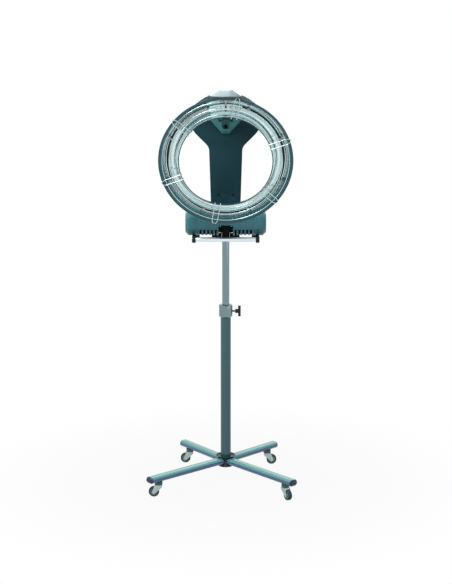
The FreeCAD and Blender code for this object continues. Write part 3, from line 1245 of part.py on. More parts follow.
def build_drive():
    frame_under = "(pod_floor + plate_thickness + frame_rise)"
    frame_top = f"({frame_under} + frame_thickness)"
    bore = "shaft_radius + turning_clearance"
    bush = new_body("bearing_bush", y=f"-{ORBIT_REACH}")
    revolve(bush, [[
        (bore, "pod_floor - bearing_flange_height"),
        ("bearing_flange_radius", "pod_floor - bearing_flange_height"),
        ("bearing_flange_radius", "pod_floor"), ("bearing_radius", "pod_floor"),
        ("bearing_radius", frame_top), (bore, frame_top),
    ]])
    keep(bush, "bearing_bush")

    motor = new_body("gear_motor", y=f"-{ORBIT_REACH}", z=f"{frame_top} + 0.1")
    revolve(motor, [[
        (bore, 0), ("motor_radius", 0), ("motor_radius", "motor_height - motor_round"),
        ("motor_radius - motor_round", "motor_height"), (bore, "motor_height"),
    ]])
    keep(motor, "gear_motor")

    shaft = new_body("drive_shaft", y=f"-{ORBIT_REACH}", z=f"{HANGER_FOOT} - shaft_drop")
    pad(shaft, "XY", [circle(0, 0, "shaft_radius")],
        f"{frame_top} + motor_height - 1 - {HANGER_FOOT} + shaft_drop")
    keep(shaft, "drive_shaft")

    hanger = new_body("hanger_bracket", y=f"-{ORBIT_REACH}")
    inner = circle(0, 0, "shaft_radius + turning_clearance")
    pad(hanger, "XY", [circle(0, 0, "hanger_boss_radius"), inner],
        "hanger_boss_height", offset=HANGER_FOOT)
    plate = box("-hanger_half_width", "hanger_half_width", "-hanger_half_depth", "hanger_half_depth")
    pad(hanger, "XY", [plate, inner], "hanger_plate_height", offset=f"{HANGER_FOOT} + hanger_plate_rise")
    keep(hanger, "hanger_bracket")


def check_and_export():
    doc.recompute()
    for item in doc.Objects:
        if "Invalid" in item.State or "Error" in item.State:
            raise RuntimeError(f"{item.Label} failed: {item.State}")
    for piece in PIECES:
        if piece.Shape.isNull() or not piece.Shape.isValid() or not piece.Shape.Solids:
            raise RuntimeError(f"{piece.Label} has no valid solid")
    os.makedirs("parts", exist_ok=True)
    for piece in PIECES:
        piece.Shape.exportStep(f"parts/{piece.Label}.step")
    print(f"{len(PIECES)} sub-parts written")


build_base()
build_column()
build_clamp()
build_socket()
build_chassis()
build_housing()
build_handle()
build_controls()
build_spine()
build_ring()
build_drive()
check_and_export()
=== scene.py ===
import json
import math
import bpy
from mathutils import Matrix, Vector


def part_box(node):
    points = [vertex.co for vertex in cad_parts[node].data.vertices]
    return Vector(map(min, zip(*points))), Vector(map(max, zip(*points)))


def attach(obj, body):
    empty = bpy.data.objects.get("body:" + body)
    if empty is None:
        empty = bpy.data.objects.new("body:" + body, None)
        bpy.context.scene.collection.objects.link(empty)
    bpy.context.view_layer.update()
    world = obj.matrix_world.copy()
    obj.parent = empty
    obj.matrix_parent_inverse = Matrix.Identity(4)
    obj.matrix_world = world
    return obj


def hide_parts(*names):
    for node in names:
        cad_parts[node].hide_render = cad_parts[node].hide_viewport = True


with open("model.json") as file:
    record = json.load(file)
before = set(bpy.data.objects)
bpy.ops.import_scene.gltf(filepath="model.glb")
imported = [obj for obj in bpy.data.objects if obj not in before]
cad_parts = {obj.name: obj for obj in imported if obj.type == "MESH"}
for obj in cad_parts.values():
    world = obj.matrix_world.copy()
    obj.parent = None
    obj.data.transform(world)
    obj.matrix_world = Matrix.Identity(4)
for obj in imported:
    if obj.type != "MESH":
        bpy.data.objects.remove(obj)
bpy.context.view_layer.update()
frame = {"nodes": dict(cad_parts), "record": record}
print("frame loaded:", len(frame["nodes"]), "nodes")

# small helpers, all on bpy.ops

def deselectAll():
    if bpy.context.object and bpy.context.object.mode != "OBJECT":
        bpy.ops.object.mode_set(mode="OBJECT")
    bpy.ops.object.select_all(action="DESELECT")


def makeActive(piece):
    deselectAll()
    piece.select_set(True)
    bpy.context.view_layer.objects.active = piece


def nameNew(name):
    piece = bpy.context.object
    piece.name = piece.data.name = name
    return piece


def editAll(piece):
    makeActive(piece)
    bpy.ops.object.mode_set(mode="EDIT")
    bpy.ops.mesh.select_all(action="SELECT")


def closeUp(piece, merge=1e-6):
    # merge the doubles, fill what is open and point the faces outwards
    editAll(piece)
    bpy.ops.mesh.remove_doubles(threshold=merge)
    bpy.ops.mesh.fill_holes(sides=0)
    bpy.ops.mesh.select_all(action="SELECT")
    bpy.ops.mesh.normals_make_consistent(inside=False)
    bpy.ops.object.mode_set(mode="OBJECT")


def smoothIt(piece, angle=32):
    makeActive(piece)
    bpy.ops.object.shade_smooth_by_angle(angle=math.radians(angle))


def drawPath(name, points):
    # one vertex, carried along the points by extrusions
    deselectAll()
    bpy.ops.mesh.primitive_plane_add(size=0.001, location=(0, 0, 0))
    piece = nameNew(name)
    editAll(piece)
    bpy.ops.mesh.merge(type="CENTER")
    bpy.ops.transform.translate(value=points[0])
    for before, after in zip(points, points[1:]):
        step = Vector(after) - Vector(before)
        bpy.ops.mesh.extrude_region_move(TRANSFORM_OT_translate={"value": step})
    bpy.ops.object.mode_set(mode="OBJECT")
    return piece


def turnOnLathe(name, outline, steps=72, turn=360, smooth=32):
    # (radius, height) outline, closed and spun about Z into a solid
    piece = drawPath(name, [(radius, 0, height) for radius, height in outline + outline[:1]])
    editAll(piece)
    bpy.ops.mesh.remove_doubles(threshold=1e-6)
    bpy.ops.mesh.spin(steps=steps, angle=math.radians(turn), center=(0, 0, 0), axis=(0, 0, 1))
    closeUp(piece)
    smoothIt(piece, smooth)
    return piece


def roundCorners(points, radius, steps=4):
    # the same path with each corner as a short arc
    path = [Vector(points[0])]
    for before, corner, after in zip(points, points[1:], points[2:]):
        before, corner, after = Vector(before), Vector(corner), Vector(after)
        toBefore, toAfter = before - corner, after - corner
        reach = min(radius, toBefore.length * 0.49, toAfter.length * 0.49)
        first = corner + toBefore.normalized() * reach
        last = corner + toAfter.normalized() * reach
        for step in range(steps + 1):
            t = step / steps
            path.append(first * (1 - t) ** 2 + corner * 2 * t * (1 - t) + last * t ** 2)
    path.append(Vector(points[-1]))
    return path


def thicken(piece, radius, sides=3):
    # an edge path becomes a round wire
    makeActive(piece)
    bpy.ops.object.convert(target="CURVE")
    piece = bpy.context.object
    piece.data.bevel_depth = radius
    piece.data.bevel_resolution = sides
    piece.data.use_fill_caps = True
    bpy.ops.object.convert(target="MESH")
    piece = bpy.context.object
    closeUp(piece, merge=1e-7)
    smoothIt(piece, 50)
    return piece


def addBlock(name, low, high, bevel=0.0, segments=3):
    # a cube between two corners with rounded edges
    deselectAll()
    size = [b - a for a, b in zip(low, high)]
    middle = [(a + b) / 2 for a, b in zip(low, high)]
    bpy.ops.mesh.primitive_cube_add(size=1, location=middle, scale=size)
    piece = nameNew(name)
    applyPlace(piece)
    if bevel:
        editAll(piece)
        bpy.ops.mesh.bevel(offset=bevel, segments=segments, profile=0.5, affect="EDGES")
        bpy.ops.object.mode_set(mode="OBJECT")
    smoothIt(piece)
    return piece


def applyPlace(piece):
    makeActive(piece)
    bpy.ops.object.transform_apply(location=True, rotation=True, scale=True)


def moveTo(piece, place=(0, 0, 0), turn=(0, 0, 0)):
    # turn in degrees about X, then Y, then Z, and settle it in the mesh
    piece.rotation_euler = [math.radians(value) for value in turn]
    piece.location = place
    applyPlace(piece)
    return piece


def finishWith(piece, kind, **values):
    # one modifier, applied
    makeActive(piece)
    modifier = piece.modifiers.new(kind, kind)
    for key, value in values.items():
        setattr(modifier, key, value)
    bpy.ops.object.modifier_apply(modifier=modifier.name)
    return piece


def joinPieces(name, pieces):
    deselectAll()
    for piece in pieces:
        piece.select_set(True)
    bpy.context.view_layer.objects.active = pieces[0]
    bpy.ops.object.join()
    return nameNew(name)


def copyPiece(piece, name):
    twin = piece.copy()
    twin.data = piece.data.copy()
    twin.name = twin.data.name = name
    bpy.context.scene.collection.objects.link(twin)
    return twin


softening = {"merge": 1e-5, "flat": 0.4, "edge": 30, "smooth": 35}


def softenNode(name, node, width, segments=3):
    # a merged copy of a frame node with its sharp edges rounded
    piece = bpy.data.objects.new(name, frame["nodes"][node].data.copy())
    bpy.context.scene.collection.objects.link(piece)
    piece.data.materials.clear()
    editAll(piece)
    bpy.ops.mesh.remove_doubles(threshold=softening["merge"])
    bpy.ops.mesh.dissolve_limited(angle_limit=math.radians(softening["flat"]))
    bpy.ops.mesh.customdata_custom_splitnormals_clear()
    bpy.ops.object.mode_set(mode="OBJECT")
    finishWith(piece, "BEVEL", width=width, segments=segments, limit_method="ANGLE",
               angle_limit=math.radians(softening["edge"]), miter_outer="MITER_ARC")
    smoothIt(piece, softening["smooth"])
    return piece


def fitOut(piece, finish, body, slot, *nodes):
    # finish and body of a piece, and the frame nodes that it stands for
    piece.data.materials.clear()
    piece.data.materials.append(finish)
    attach(piece, body)
    if nodes:
        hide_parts(*nodes)


# colours and surface patterns

def tint(red, green, blue):
    # a colour as a screen shows it, 0 to 255
    return [((c / 255 + 0.055) / 1.055) ** 2.4 if c > 10 else c / 3294.6 for c in (red, green, blue)] + [1]


def newGroup(name, inputs, outputs):
    group = bpy.data.node_groups.new(name, "ShaderNodeTree")
    for label, kind, value in inputs:
        socket = group.interface.new_socket(label, in_out="INPUT", socket_type=kind)
        if value is not None:
            socket.default_value = value
    for label, kind in outputs:
        group.interface.new_socket(label, in_out="OUTPUT", socket_type=kind)
    return group, group.nodes.new("NodeGroupInput"), group.nodes.new("NodeGroupOutput")


def operate(nodes, kind, operation):
    node = nodes.new(kind)
    node.operation = operation
    return node


def addRange(nodes, low, high, bottom=0.0, top=1.0):
    # values between low and high go to between bottom and top
    node = nodes.new("ShaderNodeMapRange")
    for label, value in (("From Min", low), ("From Max", high), ("To Min", bottom), ("To Max", top)):
        node.inputs[label].default_value = value
    return node


def addReach(nodes, links, vector):
    # distance from the Z axis
    flat = operate(nodes, "ShaderNodeVectorMath", "MULTIPLY")
    flat.inputs[1].default_value = (1, 1, 0)
    reach = operate(nodes, "ShaderNodeVectorMath", "LENGTH")
    links.new(vector, flat.inputs[0])
    links.new(flat.outputs[0], reach.inputs[0])
    return reach.outputs["Value"]


def addBlend(nodes):
    blend = nodes.new("ShaderNodeMix")
    blend.data_type = "RGBA"
    return blend


def buildMottle():
    # slow drift between two colours, with fine speckle
    group, start, end = newGroup("mottle", [
        ("Vector", "NodeSocketVector", None), ("Scale", "NodeSocketFloat", 12.0),
        ("Amount", "NodeSocketFloat", 0.5), ("Speckle", "NodeSocketFloat", 0.1),
        ("Base", "NodeSocketColor", (0.5, 0.5, 0.5, 1)), ("Shade", "NodeSocketColor", (0.4, 0.4, 0.4, 1)),
    ], [("Color", "NodeSocketColor")])
    nodes, links = group.nodes, group.links
    slow = nodes.new("ShaderNodeTexNoise")
    slow.inputs["Detail"].default_value = 4
    fine = nodes.new("ShaderNodeTexNoise")
    fine.inputs["Scale"].default_value = 900
    fine.inputs["Detail"].default_value = 2
    rise = addRange(nodes, 0.35, 0.68)
    scaled = operate(nodes, "ShaderNodeMath", "MULTIPLY")
    specks = operate(nodes, "ShaderNodeMath", "MULTIPLY")
    total = operate(nodes, "ShaderNodeMath", "ADD")
    total.use_clamp = True
    blend = addBlend(nodes)
    links.new(start.outputs["Vector"], slow.inputs["Vector"])
    links.new(start.outputs["Vector"], fine.inputs["Vector"])
    links.new(start.outputs["Scale"], slow.inputs["Scale"])
    links.new(slow.outputs["Fac"], rise.inputs["Value"])
    links.new(rise.outputs["Result"], scaled.inputs[0])
    links.new(start.outputs["Amount"], scaled.inputs[1])
    links.new(fine.outputs["Fac"], specks.inputs[0])
    links.new(start.outputs["Speckle"], specks.inputs[1])
    links.new(scaled.outputs[0], total.inputs[0])
    links.new(specks.outputs[0], total.inputs[1])
    links.new(total.outputs[0], blend.inputs["Factor"])
    links.new(start.outputs["Base"], blend.inputs["A"])
    links.new(start.outputs["Shade"], blend.inputs["B"])
    links.new(blend.outputs["Result"], end.inputs["Color"])
    return group


def newSurface(name, own, low, high):
    # a group for roughness and height, with one input of its own
    return newGroup(name, [("Vector", "NodeSocketVector", None), own,
                           ("Low", "NodeSocketFloat", low), ("High", "NodeSocketFloat", high)],
                    [("Height", "NodeSocketFloat"), ("Roughness", "NodeSocketFloat")])


def endSurface(group, start, end, drift, height):
    # the drift goes between the low and the high roughness
    nodes, links = group.nodes, group.links
    spread = addRange(nodes, 0.3, 0.7)
    links.new(drift, spread.inputs["Value"])
    links.new(start.outputs["Low"], spread.inputs["To Min"])
    links.new(start.outputs["High"], spread.inputs["To Max"])
    links.new(height, end.inputs["Height"])
    links.new(spread.outputs["Result"], end.inputs["Roughness"])
    return group


def buildGrain():
    # moulded or sprayed grain, and a slower drift of roughness
    group, start, end = newSurface("grain", ("Scale", "NodeSocketFloat", 900.0), 0.35, 0.5)
    nodes, links = group.nodes, group.links
    noise = nodes.new("ShaderNodeTexNoise")
    noise.inputs["Detail"].default_value = 3
    broad = nodes.new("ShaderNodeTexNoise")
    broad.inputs["Scale"].default_value = 9
    broad.inputs["Detail"].default_value = 5
    links.new(start.outputs["Vector"], noise.inputs["Vector"])
    links.new(start.outputs["Vector"], broad.inputs["Vector"])
    links.new(start.outputs["Scale"], noise.inputs["Scale"])
    return endSurface(group, start, end, broad.outputs["Fac"], noise.outputs["Fac"])


def buildBrush():
    # long fine lines: noise squeezed across the way it was brushed or drawn
    group, start, end = newSurface("brush", ("Stretch", "NodeSocketVector", (400, 400, 4)), 0.1, 0.25)
    nodes, links = group.nodes, group.links
    squeeze = operate(nodes, "ShaderNodeVectorMath", "MULTIPLY")
    noise = nodes.new("ShaderNodeTexNoise")
    noise.inputs["Scale"].default_value = 1
    noise.inputs["Detail"].default_value = 3
    links.new(start.outputs["Vector"], squeeze.inputs[0])
    links.new(start.outputs["Stretch"], squeeze.inputs[1])
    links.new(squeeze.outputs[0], noise.inputs["Vector"])
    return endSurface(group, start, end, noise.outputs["Fac"], noise.outputs["Fac"])


def buildSpun():
    # fine rings round the piece's own axis, as a spinning tool leaves them
    group, start, end = newSurface("spun", ("Scale", "NodeSocketFloat", 2200.0), 0.1, 0.2)
    nodes, links = group.nodes, group.links
    noise = nodes.new("ShaderNodeTexNoise")
    noise.noise_dimensions = "1D"
    noise.inputs["Detail"].default_value = 2
    links.new(addReach(nodes, links, start.outputs["Vector"]), noise.inputs["W"])
    links.new(start.outputs["Scale"], noise.inputs["Scale"])
    return endSurface(group, start, end, noise.outputs["Fac"], noise.outputs["Fac"])


mottle, grain, brush, spun = buildMottle(), buildGrain(), buildBrush(), buildSpun()


def useGroup(material, group, values, vector):
    node = material.node_tree.nodes.new("ShaderNodeGroup")
    node.node_tree = group
    for key, value in values.items():
        node.inputs[key].default_value = value
    material.node_tree.links.new(vector, node.inputs["Vector"])
    return node


def paintShadeUnder(material, colour, paintedShadeColour):
    # painted shade: a darker bluish colour on faces that look sideways and down, standing in for the shade
    # and bluish reflection they get
    nodes, links = material.node_tree.nodes, material.node_tree.links
    surface = nodes.new("ShaderNodeNewGeometry")
    parts = nodes.new("ShaderNodeSeparateXYZ")
    facing = addRange(nodes, 0.15, 0.75)
    blend = addBlend(nodes)
    blend.inputs["A"].default_value = paintedShadeColour
    links.new(surface.outputs["Normal"], parts.inputs["Vector"])
    links.new(parts.outputs["Z"], facing.inputs["Value"])
    links.new(facing.outputs["Result"], blend.inputs["Factor"])
    links.new(colour, blend.inputs["B"])
    links.new(blend.outputs["Result"], nodes["Principled BSDF"].inputs["Base Color"])


def tintWall(material, colour, vector, radius, fade, shade, metal):
    # outside a radius from the piece's own axis the sheet takes a second colour and another metallic value
    nodes, links = material.node_tree.nodes, material.node_tree.links
    shader = nodes["Principled BSDF"]
    share = addRange(nodes, radius - fade, radius + fade)
    plated = addRange(nodes, 0, 1, shader.inputs["Metallic"].default_value, metal)
    blend = addBlend(nodes)
    blend.inputs["B"].default_value = shade
    links.new(addReach(nodes, links, vector), share.inputs["Value"])
    links.new(share.outputs["Result"], blend.inputs["Factor"])
    links.new(share.outputs["Result"], plated.inputs["Value"])
    links.new(colour, blend.inputs["A"])
    links.new(blend.outputs["Result"], shader.inputs["Base Color"])
    links.new(plated.outputs["Result"], shader.inputs["Metallic"])


def makeFinish(name, base, shade, rough=(0.35, 0.5), metal=0.0, grainScale=900.0, bump=0.05,
               coat=0.0, coatRough=0.1, mottleScale=12.0, amount=0.5, speckle=0.1, stretch=None,
               place=None, turn=None, rings=None, gloss=0.5, paintedShadeColour=None, wall=None):
    # one finish: mottled colour, and grain, brushing or rings for roughness and bump
    material = bpy.data.materials.new(name)
    material.use_nodes = True
    nodes, links = material.node_tree.nodes, material.node_tree.links
    shader = nodes["Principled BSDF"]
    shader.inputs["Metallic"].default_value = metal
    shader.inputs["Specular IOR Level"].default_value = gloss
    shader.inputs["Coat Weight"].default_value = coat
    shader.inputs["Coat Roughness"].default_value = coatRough
    coordinates = nodes.new("ShaderNodeTexCoord")
    vector = coordinates.outputs["Object"]
    if place:
        mapping = nodes.new("ShaderNodeMapping")
        mapping.vector_type = "TEXTURE"
        mapping.inputs["Location"].default_value = place
        mapping.inputs["Rotation"].default_value = [math.radians(value) for value in turn]
        links.new(vector, mapping.inputs["Vector"])
        vector = mapping.outputs["Vector"]
    colour = useGroup(material, mottle, {"Scale": mottleScale, "Amount": amount, "Speckle": speckle,
                                         "Base": base, "Shade": shade}, vector)
    links.new(colour.outputs["Color"], shader.inputs["Base Color"])
    if paintedShadeColour:
        paintShadeUnder(material, colour.outputs["Color"], paintedShadeColour)
    if wall:
        tintWall(material, colour.outputs["Color"], vector, *wall)
    low, high = rough
    if rings:
        surface = useGroup(material, spun, {"Scale": rings, "Low": low, "High": high}, vector)
    elif stretch:
        surface = useGroup(material, brush, {"Stretch": stretch, "Low": low, "High": high}, vector)
    else:
        surface = useGroup(material, grain, {"Scale": grainScale, "Low": low, "High": high}, vector)
    links.new(surface.outputs["Roughness"], shader.inputs["Roughness"])
    relief = nodes.new("ShaderNodeBump")
    relief.inputs["Strength"].default_value = bump
    relief.inputs["Distance"].default_value = 0.0006
    links.new(surface.outputs["Height"], relief.inputs["Height"])
    links.new(relief.outputs["Normal"], shader.inputs["Normal"])
    return material


ringPlace = {"centre": (0, -0.244, 1.274951), "tilt": 16.5}
ringTurn = (ringPlace["tilt"] - 90, 0, 0)

finishes = {
    "dark_casting": makeFinish("darkCasting", tint(30, 55, 64), tint(20, 40, 48), (0.3, 0.45), coat=0.2,
                               grainScale=420, bump=0.12, gloss=0.3),
    # the legs' sideways and downward faces get painted bluish shade
    "leg_enamel": makeFinish("legEnamel", tint(112, 182, 172), tint(102, 170, 163), (0.22, 0.34), 0.3,
                             grainScale=700, bump=0.05, coat=0.35, paintedShadeColour=tint(72, 104, 148)),
    "leg_cap": makeFinish("legCapPlastic", tint(20, 34, 82), tint(28, 44, 94), (0.16, 0.26), grainScale=500,
                          bump=0.05, coat=0.35, coatRough=0.08, gloss=0.35),
    "stem": makeFinish("stemEnamel", tint(54, 90, 95), tint(46, 78, 84), (0.3, 0.42), 0.2, coat=0.3),
    "column_enamel": makeFinish("columnEnamel", tint(66, 106, 113), tint(58, 96, 104), (0.25, 0.38), 0.3,
                                grainScale=700, bump=0.05, coat=0.25, gloss=0.4),
    "black_plastic": makeFinish("blackPlastic", tint(18, 30, 36), tint(26, 40, 46), (0.42, 0.58), bump=0.15,
                                gloss=0.3),
    "pale_plastic": makeFinish("palePlastic", tint(150, 178, 178), tint(128, 156, 158), (0.4, 0.55),
                               bump=0.08),
    "natural_plastic": makeFinish("naturalPlastic", tint(222, 222, 214), tint(205, 206, 198), (0.4, 0.5)),
    "fork_steel": makeFinish("forkSteel", tint(176, 196, 192), tint(150, 174, 172), (0.25, 0.42), 0.9,
                             stretch=(60, 60, 900), bump=0.05),
    "tyre": makeFinish("tyreRubber", tint(45, 66, 76), tint(62, 82, 90), (0.7, 0.85), bump=0.2,
                       mottleScale=40, amount=0.7, speckle=0.3),
    # chrome with a darkened colour: painted shade for the dim surroundings that the mast reflects
    "chrome": makeFinish("chromePlate", tint(126, 146, 152), tint(114, 134, 141), (0.07, 0.16), 1.0,
                         stretch=(500, 500, 3), bump=0.012),
    # a brighter copy of the same chrome for the bar: painted reflection of its bright surroundings
    "bar_chrome_painted_bright": makeFinish("barChromePaintedBright", tint(224, 236, 238), tint(212, 226, 229), (0.06, 0.13), 1.0,
                             stretch=(3, 500, 500), bump=0.01),
    "steel": makeFinish("machinedSteel", tint(160, 168, 170), tint(140, 148, 152), (0.25, 0.4), 1.0,
                        stretch=(30, 30, 900), bump=0.05),
    "brass": makeFinish("turnedBrass", tint(190, 160, 95), tint(168, 138, 78), (0.2, 0.35), 1.0,
                        stretch=(20, 20, 900), bump=0.05),
    "black_casting": makeFinish("blackCasting", tint(12, 20, 24), tint(18, 28, 33), (0.5, 0.65), 0.0,
                                grainScale=500, bump=0.25, gloss=0.15),
    "housing": makeFinish("housingPlastic", tint(70, 138, 149), tint(60, 126, 138), (0.32, 0.44),
                          grainScale=1400, bump=0.07, coat=0.25, coatRough=0.25, gloss=0.4),
    "board": makeFinish("circuitBoard", tint(40, 96, 64), tint(30, 78, 52), (0.35, 0.5)),
    "window": makeFinish("smokedWindow", tint(18, 34, 36), tint(14, 28, 30), (0.05, 0.1), coat=0.6, bump=0.0),
    "fascia": makeFinish("fasciaPlastic", tint(30, 40, 46), tint(26, 35, 41), (0.25, 0.35), bump=0.06),
    "key": makeFinish("keyPlastic", tint(205, 212, 210), tint(192, 200, 198), (0.35, 0.45), bump=0.05),
    "spine_plate": makeFinish("spinePlate", tint(33, 72, 81), tint(26, 62, 71), (0.42, 0.55), grainScale=1100,
                              bump=0.1, mottleScale=6, gloss=0.2),
    # painted light: the shell's teal-grey plastic gets a near-white colour, standing in for the strong top
    # light that washes it out
    "spine_shell": makeFinish("spineShell", tint(226, 243, 245), tint(220, 238, 241), (0.3, 0.4),
                              grainScale=1300, bump=0.03, coat=0.25, coatRough=0.2, mottleScale=5),
    "keel": makeFinish("keelEnamel", tint(72, 156, 154), tint(62, 138, 138), (0.34, 0.46), 0.1, coat=0.2,
                       gloss=0.35),
    "motor": makeFinish("motorCan", tint(150, 155, 158), tint(135, 140, 144), (0.25, 0.4), 1.0),
    "ring_enamel": makeFinish("ringEnamel", tint(40, 94, 101), tint(33, 82, 91), (0.28, 0.4), 0.2,
                              grainScale=800, bump=0.05, coat=0.3, mottleScale=7, gloss=0.4),
    "reflector": makeFinish("spunReflector", tint(224, 242, 243), tint(208, 233, 235), (0.1, 0.15), 0.9,
                            rings=320, bump=0.002, mottleScale=3, amount=0.35, speckle=0.0,
                            place=ringPlace["centre"], turn=ringTurn,
                            wall=(0.2285, 0.0008, tint(84, 148, 157), 0.25)),
    "sheath": makeFinish("elementSheath", tint(30, 40, 44), tint(52, 54, 50), (0.4, 0.6), 0.7,
                         mottleScale=25, amount=0.7, bump=0.1),
    "guard": makeFinish("guardChrome", tint(196, 212, 212), tint(178, 196, 198), (0.08, 0.18), 1.0,
                        grainScale=300, bump=0.02),
    "cover": makeFinish("coverMoulding", tint(214, 228, 226), tint(198, 216, 216), (0.3, 0.42), bump=0.05,
                        coat=0.2),
}
print("finishes made:", len(finishes))

for row in frame["record"]["subparts"]:
    carried = frame["nodes"][row["node"]]
    carried.data.materials.clear()
    carried.data.materials.append(finishes[row["material_slot"]])

# heating ring: trough, lining, sheath, clips, wire guard, terminal cover

trough = {"outer": 0.2465, "inner": 0.170, "depth": 0.040, "sheet": 0.002, "outerLip": 0.006,
          "innerLip": 0.0015, "outerBatter": 0.012, "innerBatter": 0.011, "corner": 0.006, "steps": 224,
          "ridge": 0.006, "ridgeAt": 0.2075, "ridgeHalf": 0.0104, "lipGap": 0.0026, "lipGapInside": 0.0006,
          "liningLip": 0.0012, "liningNear": 0.0024, "liningFar": 0.0034}


def putOnRing(piece, slot, *nodes):
    moveTo(piece, ringPlace["centre"], ringTurn)
    fitOut(piece, finishes[slot], "ring", slot, *nodes)


def troughLine(gap, lipGap):
    # from the outer lip over the floor to the inner lip, at a depth in the sheet
    outer, inner = trough["outer"] - trough["outerLip"] - gap, trough["inner"] + trough["innerLip"] + gap
    floorOuter = outer - trough["outerBatter"]
    floorInner = inner + trough["innerBatter"]
    floor, corner = trough["depth"] - gap, trough["corner"] - gap * 0.5
    corners = [(outer, 0, lipGap), (floorOuter, 0, floor), (floorInner, 0, floor), (inner, 0, lipGap)]
    path = roundCorners(corners, corner * 1.6, 5)
    return [(point.x, point.z) for point in path]


def liningLine(gap):
    # the trough's line with a rolled ridge in its floor, right behind the sheath
    path = troughLine(gap, trough["liningLip"])
    ridge = []
    for step in range(17):
        across = 1 - step / 8
        rise = trough["ridge"] * (0.5 + 0.5 * math.cos(math.pi * across))
        ridge.append((trough["ridgeAt"] + across * trough["ridgeHalf"], trough["depth"] - gap - rise))
    outside = [point for point in path if point[0] > trough["ridgeAt"]]
    return outside + ridge + path[len(outside):]


def buildTrough():
    outside = troughLine(0.0, trough["lipGap"])
    inside = troughLine(trough["sheet"], trough["lipGapInside"])
    outer, inner = trough["outer"], trough["inner"]
    outerLip = [(outer, 0.0014), (outer - 0.0003, 0.0004), (outer - 0.0012, 0.0)]
    innerLip = [(inner + 0.0012, 0.0), (inner + 0.0003, 0.0004), (inner, 0.0014)]
    outerBack = [(outer - 0.0006, 0.0024)]
    innerBack = [(inner + 0.0005, 0.0024)]
    outline = outside + innerBack + innerLip[::-1] + inside[::-1] + outerLip[::-1] + outerBack
    putOnRing(turnOnLathe("ringTrough", outline, trough["steps"], smooth=40), "ring_enamel", "ring_shell")
    outline = liningLine(trough["liningNear"]) + liningLine(trough["liningFar"])[::-1]
    putOnRing(turnOnLathe("reflectorLining", outline, trough["steps"], smooth=60), "reflector", "reflector")
    print("ring trough and lining done")


element = {"radius": 0.2125, "thickness": 0.0038, "depth": 0.022, "gap": 37, "hidden": 2, "steps": 120,
           "clips": 8, "firstClip": 22.5, "clipReach": 0.009, "clipHalf": 0.004, "clipBend": 0.004,
           "clipSheet": 0.0008, "clipEdge": 0.0002, "clipGap": 0.0006, "clipSeat": 0.0045}


def buildElement():
    # a round sheath that turns back into the terminal cover at both ends
    half = element["gap"] / 2 - element["hidden"]
    radius, depth, steps = element["radius"], element["depth"], element["steps"]
    points = []
    for step in range(steps + 1):
        angle = math.radians(half + (360 - 2 * half) * step / steps)
        points.append((radius * math.sin(angle), -radius * math.cos(angle), depth))
    sheath = thicken(drawPath("heaterSheath", points), element["thickness"], 4)
    putOnRing(sheath, "sheath", "heating_element")
    clips = []
    reach, foot, half = element["thickness"] + element["clipGap"], element["clipReach"], element["clipHalf"]
    seat = trough["depth"] - element["clipSeat"]
    for index in range(element["clips"]):
        path = roundCorners([(0, -radius - foot, seat), (0, -radius - reach, seat),
                             (0, -radius - reach, depth - reach), (0, -radius + reach, depth - reach),
                             (0, -radius + reach, seat), (0, -radius + foot, seat)], element["clipBend"], 4)
        strap = drawPath("clip", path)
        editAll(strap)
        bpy.ops.transform.translate(value=(-half, 0, 0))
        bpy.ops.mesh.extrude_region_move(TRANSFORM_OT_translate={"value": (half * 2, 0, 0)})
        bpy.ops.object.mode_set(mode="OBJECT")
        finishWith(strap, "SOLIDIFY", thickness=element["clipSheet"], offset=0)
        finishWith(strap, "BEVEL", width=element["clipEdge"], segments=1)
        moveTo(strap, turn=(0, 0, element["firstClip"] + index * 360 / element["clips"]))
        clips.append(strap)
    piece = joinPieces("elementClips", clips)
    smoothIt(piece, 40)
    putOnRing(piece, "steel", "element_clips")
    print("heating element and clips done")


guard = {"wire": 0.0016, "hoops": (0.1835, 0.2068, 0.232), "ties": 6, "firstTie": 10, "spread": 0.020,
         "hook": 0.0045, "loopStart": 0.012, "nose": 0.0044, "bend": 0.0045, "outerGap": 0.0003,
         "innerGap": 0.0006, "lipGap": 0.0003, "hoopSteps": 160}


def buildGuard():
    wire = guard["wire"]
    hoops = []
    for radius in guard["hoops"]:
        deselectAll()
        bpy.ops.mesh.primitive_circle_add(vertices=guard["hoopSteps"], radius=radius, location=(0, 0, 0))
        hoops.append(thicken(nameNew("hoop"), wire, 3))
    outer, inner = trough["outer"] + guard["outerGap"] + wire, trough["inner"] - guard["innerGap"] - wire
    level, hook = -guard["lipGap"] - wire * 2, guard["hook"]
    half, nose, shoulder = guard["spread"] / 2, guard["nose"], outer - guard["loopStart"]
    for index in range(guard["ties"]):
        # two legs from the inner lip run together into a loop that hooks over the outer lip
        side = [(half, -inner, hook), (half, -inner, level), (half, -shoulder, level),
                (nose, -outer, level), (nose, -outer, hook)]
        path = roundCorners(side + [(-x, y, z) for x, y, z in side[::-1]], guard["bend"], 5)
        tie = thicken(drawPath("tie", path), wire, 3)
        moveTo(tie, turn=(0, 0, guard["firstTie"] + index * 360 / guard["ties"]))
        hoops.append(tie)
    putOnRing(joinPieces("wireGuard", hoops), "guard", "wire_guard")
    print("wire guard done")


cover = {"inner": 0.1998, "outer": 0.2177, "front": 0.0045, "back": 0.0345, "span": 36, "edge": 0.0022,
         "round": 0.0008, "ribs": 7, "ribHalf": 0.0011, "ribReach": 0.0072, "ribSink": 0.0012,
         "ribRise": 0.002, "plugs": ((0, 0.0036), (-14.5, 0.0016), (14.5, 0.0016)), "plugSink": 0.0008,
         "plugFlat": 0.0016, "plugTop": 0.0024, "beadAngle": 23.5}


